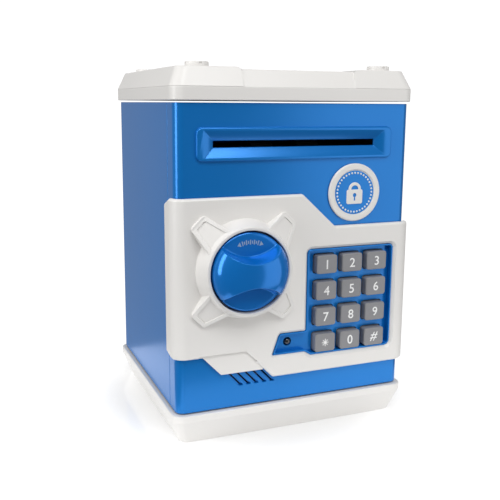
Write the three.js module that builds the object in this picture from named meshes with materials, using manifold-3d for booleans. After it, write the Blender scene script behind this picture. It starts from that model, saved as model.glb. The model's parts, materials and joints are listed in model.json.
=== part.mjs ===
// Toy cash-machine money bank: a blue two-part body on a white base tray with a white lid, a white
// wrap-round door with a turning knob and a keypad, a motor-driven note feed behind the slot, a
// solenoid lock and a battery bay.  Millimetres, +Z up, front of the bank towards -Y.  The origin
// is the middle of the base's underside.
import * as THREE from 'three';
import { mergeVertices } from 'three/addons/utils/BufferGeometryUtils.js';
import Module from 'manifold-3d';

const wasm = await Module();
wasm.setup();

// ---------------------------------------------------------------- driving dimensions (mm)
const GAP = 0.3; // clearance between pieces that touch
const WALL = 2.5; // body and base wall
const LAP = 0.5; // depth by which a joined piece runs into its neighbour
const FAR = 200; // reach of a cutting tool past every face of the bank

const BODY = { halfX: 63.5, halfY: 58, z0: 16.3, z1: 168.7, corner: 4.5 };
const SPLIT_Y = -45.5; // parting plane between the front and rear shells
const FRONT_IN = -BODY.halfY + WALL; // inner face of the front wall
const SIDE_IN = BODY.halfX - WALL; // inner face of a side wall

const BASE = {
  lipX: 65.6, lipY: 60.2, footX: 60.8, footY: 55.2, lipZ: 12.5, top: 16, floor: 2.4, corner: 6, footCorner: 4,
};
const LID = {
  x: 65.1, y: 59.8, topX: 61.2, topY: 55.9, z0: 169, bandZ: 175.5, z1: 184.7, corner: 6, topCorner: 5,
};
const LID_PAD = { inner: 31, step: 1.1 }; // raised strips along the lid's sides
const LID_CAVITY = { x: 58.9, y: 53.4, topX: 56.4, topY: 50.9, corner: 3, roof: 2 };
const LID_SKIRT = { drop: 5, corner: 2, clear: 0.4 }; // locates the lid inside the body
const LID_BOLT = { x: 49.5, y: 48, r: 5.7, top: 187, slot: 1.5, slotDepth: 1.2 }; // cross-slotted heads
const COIN_SLOT = { length: 32, width: 3.4, corner: 1.6 };

const SCREW_POST = { x: 52, y: 46.5, r: 5.2, holeR: 1.7, sinkR: 3.6, sinkZ: 5, top: 30, low: 0.5 };
const POST_BLOCK = { halfX: 4.5, outerX: 60.6, frontY: -42, rearY: 41, lift: 0.4 }; // inside the shells
const STRIKE = { x0: -56, x1: -51, halfZ: 8, clear: 0.4 }; // the latch tongue goes behind it
const FLOOR = { x: 60.6, front: -41, back: 55.1, z0: 19, z1: 20.6, notchX: 46.8, notchY: 40.4 };
const FLOOR_LEDGE = { x: 58.5, front: -30, back: 36, z0: 16.8, z1: 18.7 };
const TRAY_CAVITY = { low: 1.6, x: 60.2, y: 54.7, z: 11, corner: 3 };

const NOTE_SLOT = { x: -0.6, z: 148.6, halfX: 43.8, halfZ: 1.6, mouthX: 48.8, mouthZ: 6.2 };
const SLOT_CORNER = 0.4;
const FUNNEL_DEPTH = 3; // from the bezel's face to the slot itself
const BEZEL = { halfX: 52.8, halfZ: 7.9, raise: 1.5, corner: 3 };

const DOOR = { halfX: 65.9, front: -61, skin: 2.4, sideSkin: 1.9, corner: 7, innerCorner: 5.1 };
const DOOR_IN = DOOR.front + DOOR.skin; // inner face of the door's front skin
const DOOR_Z = { top: 123.6, shoulder: 106.6, left: 45, bottom: 30.5 };
const HINGE = { x: 61.9, y: -48.3, barrelR: 1.9, boreR: 1.2, pinR: 0.9, z0: 36.2, z1: 100.8 };
const HINGE_SEAT = { x: 59, front: -52, back: -46, low: [31, 34.9], high: [102.1, 108] };
const HINGE_PIN = { z0: 32.3, z1: 106.7 };
const HINGE_WEB = { front: -53.3, back: -48.8, outerBack: -51.4, inner: 1.5 };
const DOOR_BOSS = { r: 2.6, holeR: 1.1, postR: 2.4, clearR: 1.5, holeFront: -59.9 };
const DOOR_SCREW = { tip: -59.6, shankR: 0.8, headR: 2.4, headH: 1.6 };
const COVER_SCREW = { seat: 1.1, tip: 6.5, shankR: 0.9, headR: 2.2, headH: 0.7 };
const BASE_SCREW = { tip: 27, shankR: 1.35, headR: 3.1, headH: 2.2 };
const LOWER_TAB = { left: -52, footLeft: -41.2, footRight: -16.8, right: -28, foot: 35, inset: 1.2 };
const KEYPAD_SLEEVE = 1.1; // wall round the keypad opening

const CARRIER = { front: -56.8, back: -55.4, clear: 1.2 }; // plate behind the door skin
const DOOR_BOX = { front: -55.1, back: -42, wall: 1.5, right: 59.7 };

const KNOB = { x: -30, z: 88.5, r: 19, base: -60.5, rim: -69.5, crest: -79.5, shaftR: 3.5 };
const RING = { footR: 24.8, rimR: 21.9, boreR: 20.2, rim: -70, floor: -60.2, round: 0.45 };
const SPOKE = { reach: 34.3, width: 10, raise: 1.8, rim: 1.6, pocket: 1.2, corner: 2, root: 18 };
const KNOB_INSIDE = { shell: 2.5, hubR: 6, hollow: 4.5 };
const KNOB_SCREW = { boreR: 1.6, tip: -60.5, shankR: 1.3, headR: 3, headH: 1.8 };
const SCOOP = { r: 22, gripHalf: 5.8, below: 1.5 }; // the finger pockets leave the grip between them
const SHAFT_CLEAR = 0.4;
const CAM = { front: -53.2, back: -50.7, r: 9.5, reach: 25, tongue: 7, notch: 5, notchR: 6, boreR: 1.7 };
const TONGUE_SLOT = { x0: -52, x1: -45, front: -54.2, back: -49.8, below: 4.5, above: 24 };

const KEY = { halfX: 5.85, halfZ: 4.9, corner: 1.5, front: -61, back: -54, holeGap: 0.4, bevel: 0.6 };
const KEY_FLANGE = { halfX: 6.9, halfZ: 5.9, thick: 1 };
const KEY_COLUMNS = [15.9, 30.6, 45.2];
const KEY_ROWS = [87, 73.2, 59.4, 45.5];
const KEY_NAMES = [
  ['key_1', 'key_2', 'key_3'],
  ['key_4', 'key_5', 'key_6'],
  ['key_7', 'key_8', 'key_9'],
  ['key_star', 'key_0', 'key_hash'],
];

const LED = { x: -4.1, z: 47.2, r: 2, proud: 1.2, back: -51.5, clear: 0.3 };
const MEMBRANE = { x: 30, z: 67.2, halfX: 23.5, halfZ: 28.5, corner: 2, front: -52, back: -51.3 };
const BOARD_Y = { front: -51, back: -49.4 };
const BADGE = { x: 31.5, z: 123.2, r: 14.8, thick: 1.1 };
const SPEAKER = { x: -31, z: 32, r: 11, depth: 5 };
const VENT = { count: 5, x: -29.8, pitch: 4.3, low: 27.5, high: 37, lean: 8.8, halfWidth: 1.2 };

const SOLENOID = { x: KNOB.x, y: -51.9, halfX: 6, halfY: 2.9, z0: 54.5, z1: 70, boreR: 2.3 };
const PLUNGER = { r: 1.9, z0: 60, tip: 78.5, collarR: 3, collarZ: 74.3, collarH: 0.9 };
const SPRING = { turns: 3, stepsPerTurn: 10, coilR: 2.45, wireR: 0.22, clear: 0.1 };

const FEED = { x: 49, wall: 2, front: -55.2, back: -18, z0: 136, z1: 163 };
const FEED_GUIDE = { below: 0.2, thick: 1.6, windowX: 7, windowY: 6.5 }; // the note slides on it
const FEED_BRIDGE = { deep: 14, thick: 2 };
const ROLLER = { y: -38, z: 142.8, r: 5.6, shaftR: 1.5, tyreX: 13, tyreHalf: 6, x0: -52, x1: 55 };
const PINCH = { z: 153.5, r: 4.8, halfX: 51 };
const GEAR = { module: 0.8, wheelTeeth: 24, pinionTeeth: 10, x0: 51.4, x1: 54.4 };
const MOTOR = { r: 10, flat: 7.5, x0: 21, x1: 46.5, bossR: 2.2, bossHoleR: 1.3, plateHalfY: 12, shaftR: 0.9 };

const CELL = { r: 7.2, halfLength: 25, z: 9.8, pitch: 14.7, y: 28.3 };
const CELL_TIP = { r: 2.5, length: 1 };
const BAY = { halfX: 27.2, halfY: 22.2, wall: 1.4, top: 18.4 };
const BAY_NOTCH = { reach: 3, halfY: 8.4, z: 8.4 };
const COVER = { halfX: 26.8, clearY: 0.4, top: 2.1 };
const COVER_EAR = { x: 36, halfY: 5, screwX: 32, holeR: 1.3, sinkR: 2.6, sinkZ: 1.4, bossZ: 8 };
const CONTACT = { inset: 0.4, thick: 0.6, halfY: 20, z0: 3.5, z1: 15.5 };

// ---------------------------------------------------------------- materials
const finish = (color, roughness, metalness = 0) =>
  new THREE.MeshStandardMaterial({ color, roughness, metalness });
const WHITE = finish(0xe9e8e6, 0.35);
const BLUE = finish(0x1f78c4, 0.28);
const KEY_GREY = finish(0x8b9097, 0.45);
const BLACK = finish(0x1b1c1f, 0.5);
const LENS = finish(0x10151c, 0.12);
const STEEL = finish(0xb9bcc0, 0.3, 0.9);
const BRASS = finish(0xc9a24a, 0.35, 0.9);
const RUBBER = finish(0x3a3b3d, 0.8);
const BOARD = finish(0x1f6b3a, 0.5);
const CELL_WRAP = finish(0x9a9ca0, 0.4, 0.3);

// ---------------------------------------------------------------- solid helpers
function solid(geometry) {
  const bare = geometry.index ? geometry.toNonIndexed() : geometry.clone();
  bare.deleteAttribute('normal');
  bare.deleteAttribute('uv');
  const merged = mergeVertices(bare, 1e-4);
  const vertProperties = new Float32Array(merged.attributes.position.array);
  const triVerts = new Uint32Array(merged.index.array);
  return new wasm.Manifold(new wasm.Mesh({ numProp: 3, vertProperties, triVerts }));
}

const join = (...parts) => parts.reduce((whole, part) => whole.add(part));
const cut = (body, ...tools) => tools.reduce((left, tool) => left.subtract(tool), body);

// Outline in X,Y raised from z0 to z1.
function raiseZ(shape, z0, z1, curveSegments = 4) {
  const geometry = new THREE.ExtrudeGeometry(shape, { depth: z1 - z0, bevelEnabled: false, curveSegments });
  return solid(geometry.translate(0, 0, z0));
}

// Outline in X,Z carried from y0 (front) to y1.
function raiseY(shape, y0, y1, curveSegments = 4) {
  const geometry = new THREE.ExtrudeGeometry(shape, { depth: y1 - y0, bevelEnabled: false, curveSegments });
  return solid(geometry.rotateX(Math.PI / 2).translate(0, y1, 0));
}

// Outline in Y,Z carried from x0 to x1.
function raiseX(shape, x0, x1, curveSegments = 4) {
  const geometry = new THREE.ExtrudeGeometry(shape, { depth: x1 - x0, bevelEnabled: false, curveSegments });
  const alongX = new THREE.Matrix4().makeBasis(
    new THREE.Vector3(0, 1, 0),
    new THREE.Vector3(0, 0, 1),
    new THREE.Vector3(1, 0, 0),
  );
  return solid(geometry.applyMatrix4(alongX).translate(x0, 0, 0));
}

function box(x0, x1, y0, y1, z0, z1) {
  const geometry = new THREE.BoxGeometry(x1 - x0, y1 - y0, z1 - z0);
  return solid(geometry.translate((x0 + x1) / 2, (y0 + y1) / 2, (z0 + z1) / 2));
}

// Cylinder of radius r with its ends at a and b on the line along one axis.
function rod(axis, r, a, b, u, v, sides = 20) {
  const geometry = new THREE.CylinderGeometry(r, r, b - a, sides);
  const mid = (a + b) / 2;
  if (axis === 'x') return solid(geometry.rotateZ(Math.PI / 2).translate(mid, u, v));
  if (axis === 'y') return solid(geometry.translate(u, mid, v));
  return solid(geometry.rotateX(Math.PI / 2).translate(u, v, mid));
}

// Turned solid about a line along Y; the profile lists [radius, y] from the front axis point back.
function turnedY(profile, x, z, sides = 32) {
  const points = profile.map(([r, y]) => new THREE.Vector2(r, y));
  const geometry = new THREE.LatheGeometry(points, sides);
  return solid(geometry.translate(x, 0, z));
}

function rectangle(halfX, halfY, corner, x = 0, y = 0) {
  const shape = new THREE.Shape();
  const turn = (cx, cy, quarter) =>
    shape.absarc(cx, cy, corner, (quarter * Math.PI) / 2, ((quarter + 1) * Math.PI) / 2);
  shape.moveTo(x + halfX, y + halfY - corner);
  turn(x + halfX - corner, y + halfY - corner, 0);
  turn(x - halfX + corner, y + halfY - corner, 1);
  turn(x - halfX + corner, y - halfY + corner, 2);
  turn(x + halfX - corner, y - halfY + corner, 3);
  return shape;
}

const polygon = (points) => new THREE.Shape(points.map(([a, b]) => new THREE.Vector2(a, b)));

// Moves every edge of a counter-clockwise outline outwards by d.
function offset(points, d) {
  return points.map((point, i) => {
    const before = points[(i + points.length - 1) % points.length];
    const after = points[(i + 1) % points.length];
    const outward = ([ax, ay], [bx, by]) => {
      const length = Math.hypot(bx - ax, by - ay);
      return [(by - ay) / length, (ax - bx) / length];
    };
    const n = outward(before, point);
    const m = outward(point, after);
    const scale = d / (1 + n[0] * m[0] + n[1] * m[1]);
    return [point[0] + (n[0] + m[0]) * scale, point[1] + (n[1] + m[1]) * scale];
  });
}

// Solid through rounded rectangles stacked in z.
function stack(levels) {
  const rings = levels.map(({ z, x, y, corner }) =>
    rectangle(x, y, corner)
      .extractPoints(4)
      .shape.map((p) => new THREE.Vector3(p.x, p.y, z)),
  );
  const count = rings[0].length;
  const index = [];
  for (let level = 0; level + 1 < rings.length; level += 1) {
    for (let i = 0; i < count; i += 1) {
      const a = level * count + i;
      const b = level * count + ((i + 1) % count);
      index.push(a, b, b + count, a, b + count, a + count);
    }
  }
  const outline = rings[0].map((p) => new THREE.Vector2(p.x, p.y));
  const top = (rings.length - 1) * count;
  for (const [a, b, c] of THREE.ShapeUtils.triangulateShape(outline, [])) {
    index.push(a, c, b, top + a, top + b, top + c);
  }
  const geometry = new THREE.BufferGeometry().setFromPoints(rings.flat());
  geometry.setIndex(index);
  return solid(geometry);
}

// Spur gear outline in Y,Z with involute flanks; teeth are thinned for backlash.
function gearOutline(teeth, module, y, z, firstTooth) {
  const pitchR = (teeth * module) / 2;
  const pressure = THREE.MathUtils.degToRad(20);
  const baseR = pitchR * Math.cos(pressure);
  const tipR = pitchR + 0.85 * module;
  const rootR = pitchR - 1.2 * module;
  const involute = (r) => Math.sqrt((r / baseR) ** 2 - 1) - Math.acos(baseR / r);
  const halfTooth = (0.4 * Math.PI) / teeth + involute(pitchR);
  const startR = Math.max(baseR, rootR);
  const flank = [startR, (startR + tipR) / 2, tipR];
  const points = [];
  const place = (r, angle) => points.push([y + r * Math.cos(angle), z + r * Math.sin(angle)]);
  for (let tooth = 0; tooth < teeth; tooth += 1) {
    const middle = firstTooth + (tooth * 2 * Math.PI) / teeth;
    place(rootR, middle - halfTooth);
    flank.forEach((r) => place(r, middle - halfTooth + involute(r)));
    [...flank].reverse().forEach((r) => place(r, middle + halfTooth - involute(r)));
    place(rootR, middle + halfTooth);
  }
  return polygon(points);
}

const corners = [
  [-1, -1],
  [1, -1],
  [-1, 1],
  [1, 1],
];
const group = new THREE.Group();

function add(name, body, material) {
  const { vertProperties, triVerts } = body.getMesh();
  const geometry = new THREE.BufferGeometry();
  geometry.setAttribute('position', new THREE.BufferAttribute(vertProperties, 3));
  geometry.setIndex(new THREE.BufferAttribute(triVerts, 1));
  geometry.computeVertexNormals();
  const mesh = new THREE.Mesh(geometry, material);
  mesh.name = name;
  group.add(mesh);
}

// ---------------------------------------------------------------- outlines shared by several pieces
const doorOutline = [
  [-DOOR.halfX - 1, DOOR_Z.left],
  [-28, DOOR_Z.left],
  [-13.5, DOOR_Z.bottom],
  [DOOR.halfX + 1, DOOR_Z.bottom],
  [DOOR.halfX + 1, DOOR_Z.shoulder],
  [20.1, DOOR_Z.shoulder],
  [1.6, DOOR_Z.top],
  [-DOOR.halfX - 1, DOOR_Z.top],
];

// The doorway runs out through the right-hand corner of the body, where the hinge is.
const doorwayOutline = [
  [-50, 49.9],
  [-26.3, 49.9],
  [-11.8, 35],
  [DOOR.halfX + 4, 35],
  [DOOR.halfX + 4, 102],
  [15.9, 102],
  [-2.2, 118],
  [-50, 118],
];

const keypadOutline = [
  [-13.8, 41.7],
  [4.5, 41.6],
  [8, 39.4],
  [55.5, 39.4],
  [55.5, 95.4],
  [4.9, 95.4],
  [4.9, 52.8],
  [-9.4, 52.8],
  [-10.4, 51.5],
];

const innerDoorOutline = offset(doorwayOutline, -CARRIER.clear).map(([x, z]) => [
  Math.min(x, DOOR_BOX.right),
  z,
]);

const doorScrews = [
  [-44, 112.6],
  [-44, 55.4],
  [-5.5, 106],
  [-5.5, 39.6],
];

// ---------------------------------------------------------------- body shells
function bodyTube() {
  const outer = raiseZ(rectangle(BODY.halfX, BODY.halfY, BODY.corner), BODY.z0, BODY.z1);
  const inner = rectangle(SIDE_IN, -FRONT_IN, BODY.corner - WALL + LAP);
  return cut(outer, raiseZ(inner, BODY.z0 - 1, BODY.z1 + 1));
}

const screwHole = (x, y) => rod('z', SCREW_POST.holeR, BODY.z0 - 1, SCREW_POST.top - 2, x, y, 12);

function postBlock(side, y0, y1) {
  const inner = side * (SCREW_POST.x - POST_BLOCK.halfX);
  return spanX(inner, side * POST_BLOCK.outerX, y0, y1, BODY.z0 + POST_BLOCK.lift, SCREW_POST.top);
}

// Tapers from the mouth in the bezel's face to the note slot.
function slotFunnel() {
  const geometry = new THREE.BoxGeometry(2, FUNNEL_DEPTH, 2);
  const { position } = geometry.attributes;
  for (let i = 0; i < position.count; i += 1) {
    const atMouth = position.getY(i) < 0;
    position.setX(i, position.getX(i) * (atMouth ? NOTE_SLOT.mouthX : NOTE_SLOT.halfX));
    position.setZ(i, position.getZ(i) * (atMouth ? NOTE_SLOT.mouthZ : NOTE_SLOT.halfZ));
  }
  const mouthY = -BODY.halfY - BEZEL.raise - 0.01;
  return solid(geometry.translate(NOTE_SLOT.x, mouthY + FUNNEL_DEPTH / 2, NOTE_SLOT.z));
}

function ventSlot(i) {
  const x = VENT.x + i * VENT.pitch;
  const slot = [
    [x - VENT.halfWidth, VENT.low],
    [x + VENT.halfWidth, VENT.low],
    [x + VENT.halfWidth - VENT.lean, VENT.high],
    [x - VENT.halfWidth - VENT.lean, VENT.high],
  ];
  return raiseY(polygon(slot), -BODY.halfY - 1, FRONT_IN + 1);
}

function frontShell() {
  const wall = bodyTube().subtract(box(-FAR, FAR, SPLIT_Y - GAP / 2, FAR, -FAR, FAR));
  const bezelShape = rectangle(BEZEL.halfX, BEZEL.halfZ, BEZEL.corner, NOTE_SLOT.x, NOTE_SLOT.z);
  const bezel = raiseY(bezelShape, -BODY.halfY - BEZEL.raise, -BODY.halfY + LAP);
  const slot = raiseY(
    rectangle(NOTE_SLOT.halfX, NOTE_SLOT.halfZ, SLOT_CORNER, NOTE_SLOT.x, NOTE_SLOT.z),
    -BODY.halfY - 2,
    FRONT_IN + 1,
  );
  const doorway = raiseY(polygon(doorwayOutline), -BODY.halfY - 2, SPLIT_Y + 2);
  const vents = Array.from({ length: VENT.count }, (_, i) => ventSlot(i));
  const plain = cut(join(wall, bezel), slotFunnel(), slot, ...vents, doorway);

  const innerFace = FRONT_IN - LAP / 2;
  const posts = [-1, 1].map((side) => postBlock(side, innerFace, POST_BLOCK.frontY));
  const strikeBack = CAM.front - STRIKE.clear;
  const { halfZ } = STRIKE;
  const strike = box(STRIKE.x0, STRIKE.x1, innerFace, strikeBack, KNOB.z - halfZ, KNOB.z + halfZ);
  const seats = [HINGE_SEAT.low, HINGE_SEAT.high].map(([z0, z1]) =>
    box(HINGE_SEAT.x, SIDE_IN + LAP / 2, HINGE_SEAT.front, HINGE_SEAT.back, z0, z1),
  );
  const pinBore = rod('z', HINGE.boreR, HINGE_PIN.z0 - GAP, HINGE_PIN.z1 + GAP, HINGE.x, HINGE.y, 12);
  const holes = [-1, 1].map((side) => screwHole(side * SCREW_POST.x, -SCREW_POST.y));
  return cut(join(plain, ...posts, strike, ...seats), pinBore, ...holes);
}

function rearShell() {
  const wall = bodyTube().subtract(box(-FAR, FAR, -FAR, SPLIT_Y + GAP / 2, -FAR, FAR));
  const { x, front, back, z0, z1 } = FLOOR_LEDGE;
  const fittings = [-1, 1].flatMap((side) => [
    postBlock(side, POST_BLOCK.rearY, BODY.halfY - WALL + LAP / 2),
    spanX(side * x, side * (SIDE_IN + LAP / 2), front, back, z0, z1),
  ]);
  const holes = [-1, 1].map((side) => screwHole(side * SCREW_POST.x, SCREW_POST.y));
  return cut(join(wall, ...fittings), ...holes);
}

function innerFloor() {
  const { x, front, back, z0, z1, notchX, notchY } = FLOOR;
  const notches = [-1, 1].map((side) => spanX(side * notchX, side * FAR, notchY, FAR, z0 - 1, z1 + 1));
  return cut(box(-x, x, front, back, z0, z1), ...notches);
}

// ---------------------------------------------------------------- lid and base
function lidBolt(x, y) {
  const { r, top, slot, slotDepth } = LID_BOLT;
  const half = slot / 2;
  const head = rod('z', r, LID.z1 - LAP, top, x, y, 20);
  const across = box(x - r - 1, x + r + 1, y - half, y + half, top - slotDepth, top + 1);
  const along = box(x - half, x + half, y - r - 1, y + r + 1, top - slotDepth, top + 1);
  return cut(head, across, along);
}

function topLid() {
  const outer = stack([
    { z: LID.z0, x: LID.x, y: LID.y, corner: LID.corner },
    { z: LID.bandZ, x: LID.x, y: LID.y, corner: LID.corner },
    { z: LID.z1, x: LID.topX, y: LID.topY, corner: LID.topCorner },
  ]);
  const low = LID.z1 - LID_PAD.step;
  const { x, y, topX, topY, corner, roof } = LID_CAVITY;
  const cavity = stack([
    { z: LID.z0 - 1, x, y, corner },
    { z: LID.bandZ, x, y, corner },
    { z: low - roof, x: topX, y: topY, corner },
  ]);
  const skirtZ = LID.z0 - LID_SKIRT.drop;
  const skirtOutline = rectangle(SIDE_IN - LID_SKIRT.clear, -FRONT_IN - LID_SKIRT.clear, LID_SKIRT.corner);
  const skirt = cut(
    raiseZ(skirtOutline, skirtZ, LID.z0 + LAP / 2),
    raiseZ(rectangle(x, y, corner), skirtZ - 1, LID.z0 + 1),
  );
  const coinShape = rectangle(COIN_SLOT.length / 2, COIN_SLOT.width / 2, COIN_SLOT.corner);
  const hollows = [
    box(-LID_PAD.inner, LID_PAD.inner, -FAR, FAR, low, FAR),
    raiseZ(coinShape, low - roof - 1, FAR),
  ];
  const bolts = corners.map(([sx, sy]) => lidBolt(sx * LID_BOLT.x, sy * LID_BOLT.y));
  return join(cut(join(cut(outer, cavity), skirt), ...hollows), ...bolts);
}

function baseTray() {
  const outer = stack([
    { z: 0, x: BASE.footX, y: BASE.footY, corner: BASE.footCorner },
    { z: BASE.lipZ, x: BASE.lipX, y: BASE.lipY, corner: BASE.corner },
    { z: BASE.top, x: BASE.lipX, y: BASE.lipY, corner: BASE.corner },
  ]);
  const { low, x, y, z, corner } = TRAY_CAVITY;
  const cavity = stack([
    { z: BASE.floor, x: BASE.footX - low, y: BASE.footY - low, corner },
    { z, x, y, corner },
    { z: BASE.top + 1, x, y, corner },
  ]);
  const atCorners = (r, z0, z1, sides) =>
    corners.map(([sx, sy]) => rod('z', r, z0, z1, sx * SCREW_POST.x, sy * SCREW_POST.y, sides));
  const posts = atCorners(SCREW_POST.r, SCREW_POST.low, BASE.top, 16);
  const bores = [
    ...atCorners(SCREW_POST.holeR, -1, BASE.top + 1, 12),
    ...atCorners(SCREW_POST.sinkR, -1, SCREW_POST.sinkZ, 16),
  ];
  const { bossZ, holeR, screwX } = COVER_EAR;
  const bossHalfY = COVER_EAR.halfY + 3;
  const earBoss = box(BAY.halfX - LAP, COVER_EAR.x + 3, CELL.y - bossHalfY, CELL.y + bossHalfY, 1, bossZ);
  const bay = box(-BAY.halfX, BAY.halfX, CELL.y - BAY.halfY, CELL.y + BAY.halfY, -1, bossZ + 1);
  const earHalfY = COVER_EAR.halfY + GAP;
  const earRoof = COVER.top + 0.4;
  const ear = box(BAY.halfX - 1, COVER_EAR.x + GAP, CELL.y - earHalfY, CELL.y + earHalfY, -1, earRoof);
  const earHole = rod('z', holeR, 1, bossZ - 1, screwX, CELL.y, 12);
  return cut(join(cut(outer, cavity), ...posts, earBoss), ...bores, bay, ear, earHole);
}

// ---------------------------------------------------------------- door
function spoke(quarter) {
  const angle = (quarter * Math.PI) / 2 + Math.PI / 4;
  const top = DOOR.front - SPOKE.raise;
  const arm = (inner, outer, halfWidth, corner, y0, y1) => {
    const plan = rectangle((outer - inner) / 2, halfWidth, corner, (outer + inner) / 2, 0);
    return solid(
      new THREE.ExtrudeGeometry(plan, { depth: y1 - y0, bevelEnabled: false, curveSegments: 3 })
        .rotateZ(angle)
        .rotateX(Math.PI / 2)
        .translate(KNOB.x, y1, KNOB.z),
    );
  };
  const { reach, root, rim, corner } = SPOKE;
  const half = SPOKE.width / 2;
  const body = arm(root, reach, half, corner, top, DOOR.front + LAP);
  const pocket = arm(root + 2, reach - rim, half - rim, corner / 2, top - 1, top + SPOKE.pocket);
  return cut(body, pocket);
}

// The two faces that wrap round the front corners, as outlines in Y,Z.
const leftWrap = [
  [-FAR, DOOR_Z.left],
  [-47.4, DOOR_Z.left - 0.1],
  [-46.2, 120.4],
  [-56.8, 123.3],
  [-58.6, DOOR_Z.top],
  [-FAR, DOOR_Z.top],
];
const rightWrap = [
  [-FAR, DOOR_Z.bottom],
  [-51.3, DOOR_Z.bottom],
  [-51.3, DOOR_Z.shoulder - 3],
  [-56.8, DOOR_Z.shoulder],
  [-FAR, DOOR_Z.shoulder],
];

function doorSkin() {
  const shell = cut(
    raiseZ(rectangle(DOOR.halfX, -DOOR.front, DOOR.corner), DOOR_Z.bottom - 10, DOOR_Z.top + 5),
    raiseZ(rectangle(DOOR.halfX - DOOR.sideSkin, -DOOR_IN, DOOR.innerCorner), 0, DOOR_Z.top + 15),
  );
  const flatHalf = 50;
  const sides = join(
    raiseX(polygon(leftWrap), -FAR, -flatHalf),
    raiseX(polygon(rightWrap), flatHalf, FAR),
    box(-flatHalf - 0.1, flatHalf + 0.1, -FAR, BODY.corner - BODY.halfY, 0, FAR),
  );
  return shell.intersect(raiseY(polygon(doorOutline), -FAR, 0)).intersect(sides);
}

function doorPanel() {
  const tabTop = DOOR_Z.left + LAP;
  const tab = [
    [LOWER_TAB.left, tabTop],
    [LOWER_TAB.footLeft, LOWER_TAB.foot],
    [LOWER_TAB.footRight, LOWER_TAB.foot],
    [LOWER_TAB.right, tabTop],
  ];
  const lowerTab = raiseY(polygon(tab), DOOR.front + LOWER_TAB.inset, DOOR_IN);
  const behind = CARRIER.front - GAP;
  const sleeve = raiseY(polygon(offset(keypadOutline, KEYPAD_SLEEVE)), DOOR_IN - LAP, behind);
  const keypadHole = raiseY(polygon(keypadOutline), DOOR.front - 2, CARRIER.front + 1);
  const ring = turnedY(
    [
      [0, RING.rim],
      [RING.rimR - RING.round, RING.rim],
      [RING.rimR, RING.rim + RING.round],
      [RING.footR, DOOR.front],
      [RING.footR, DOOR.front + LAP],
      [0, DOOR.front + LAP],
    ],
    KNOB.x,
    KNOB.z,
    36,
  );
  const ringBore = rod('y', RING.boreR, RING.rim - 2, RING.floor, KNOB.x, KNOB.z, 36);
  const shaftHole = rod('y', KNOB.shaftR + SHAFT_CLEAR, RING.rim, CARRIER.back, KNOB.x, KNOB.z, 16);
  const { x, y, z0, z1 } = HINGE;
  const barrel = rod('z', HINGE.barrelR, z0, z1, x, y, 16);
  const web = join(
    box(x - HINGE_WEB.inner, x + HINGE.barrelR, HINGE_WEB.front, HINGE_WEB.back, z0, z1),
    box(x - HINGE_WEB.inner, DOOR.halfX - 0.4, HINGE_WEB.front, HINGE_WEB.outerBack, z0, z1),
  );
  const pinBore = rod('z', HINGE.boreR, z0 - 1, z1 + 1, x, y, 12);
  const bosses = doorScrews.map(([sx, sz]) => rod('y', DOOR_BOSS.r, DOOR_IN - LAP, behind, sx, sz, 12));
  const bossHoles = doorScrews.map(([sx, sz]) =>
    rod('y', DOOR_BOSS.holeR, DOOR_BOSS.holeFront, CARRIER.back, sx, sz, 10),
  );
  const spokes = [0, 1, 2, 3].map(spoke);
  const whole = join(doorSkin(), lowerTab, sleeve, ...bosses, ...spokes, ring, barrel, web);
  return cut(whole, keypadHole, ringBore, shaftHole, pinBore, ...bossHoles);
}

function keypadPlate() {
  const plate = raiseY(polygon(innerDoorOutline), CARRIER.front, CARRIER.back);
  const y0 = CARRIER.front - 1;
  const y1 = CARRIER.back + 1;
  const keyHoles = KEY_COLUMNS.flatMap((x) =>
    KEY_ROWS.map((z) => {
      const outline = rectangle(KEY.halfX + KEY.holeGap, KEY.halfZ + KEY.holeGap, KEY.corner, x, z);
      return raiseY(outline, y0, y1, 2);
    }),
  );
  const ledHole = rod('y', LED.r + LED.clear, y0, y1, LED.x, LED.z, 16);
  const shaftHole = rod('y', KNOB.shaftR + SHAFT_CLEAR, y0, y1, KNOB.x, KNOB.z, 16);
  const screws = doorScrews.map(([x, z]) => rod('y', DOOR_BOSS.clearR, y0, y1, x, z, 10));
  return cut(plate, ...keyHoles, ledHole, shaftHole, ...screws);
}

function doorBack() {
  const { front, back, wall } = DOOR_BOX;
  const shell = raiseY(polygon(innerDoorOutline), front, back);
  const cavity = raiseY(polygon(offset(innerDoorOutline, -wall)), front - 1, back - wall);
  const slot = TONGUE_SLOT;
  const tongueSlot = box(slot.x0, slot.x1, slot.front, slot.back, KNOB.z - slot.below, KNOB.z + slot.above);
  const posts = doorScrews.map(([x, z]) => rod('y', DOOR_BOSS.postR, front, back - LAP, x, z, 12));
  const holes = doorScrews.map(([x, z]) => rod('y', DOOR_BOSS.clearR, front - 1, back + 1, x, z, 10));
  return cut(join(cut(shell, cavity, tongueSlot), ...posts), ...holes);
}

const panScrewY = (x, z, tip, seat, shankR, headR, headH) =>
  join(rod('y', shankR, tip, seat + 0.2, x, z, 10), rod('y', headR, seat, seat + headH, x, z, 12));

const panScrewZ = (x, y, seat, tip, shankR, headR, headH) =>
  join(rod('z', shankR, seat - 0.2, tip, x, y, 10), rod('z', headR, seat - headH, seat, x, y, 12));

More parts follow.
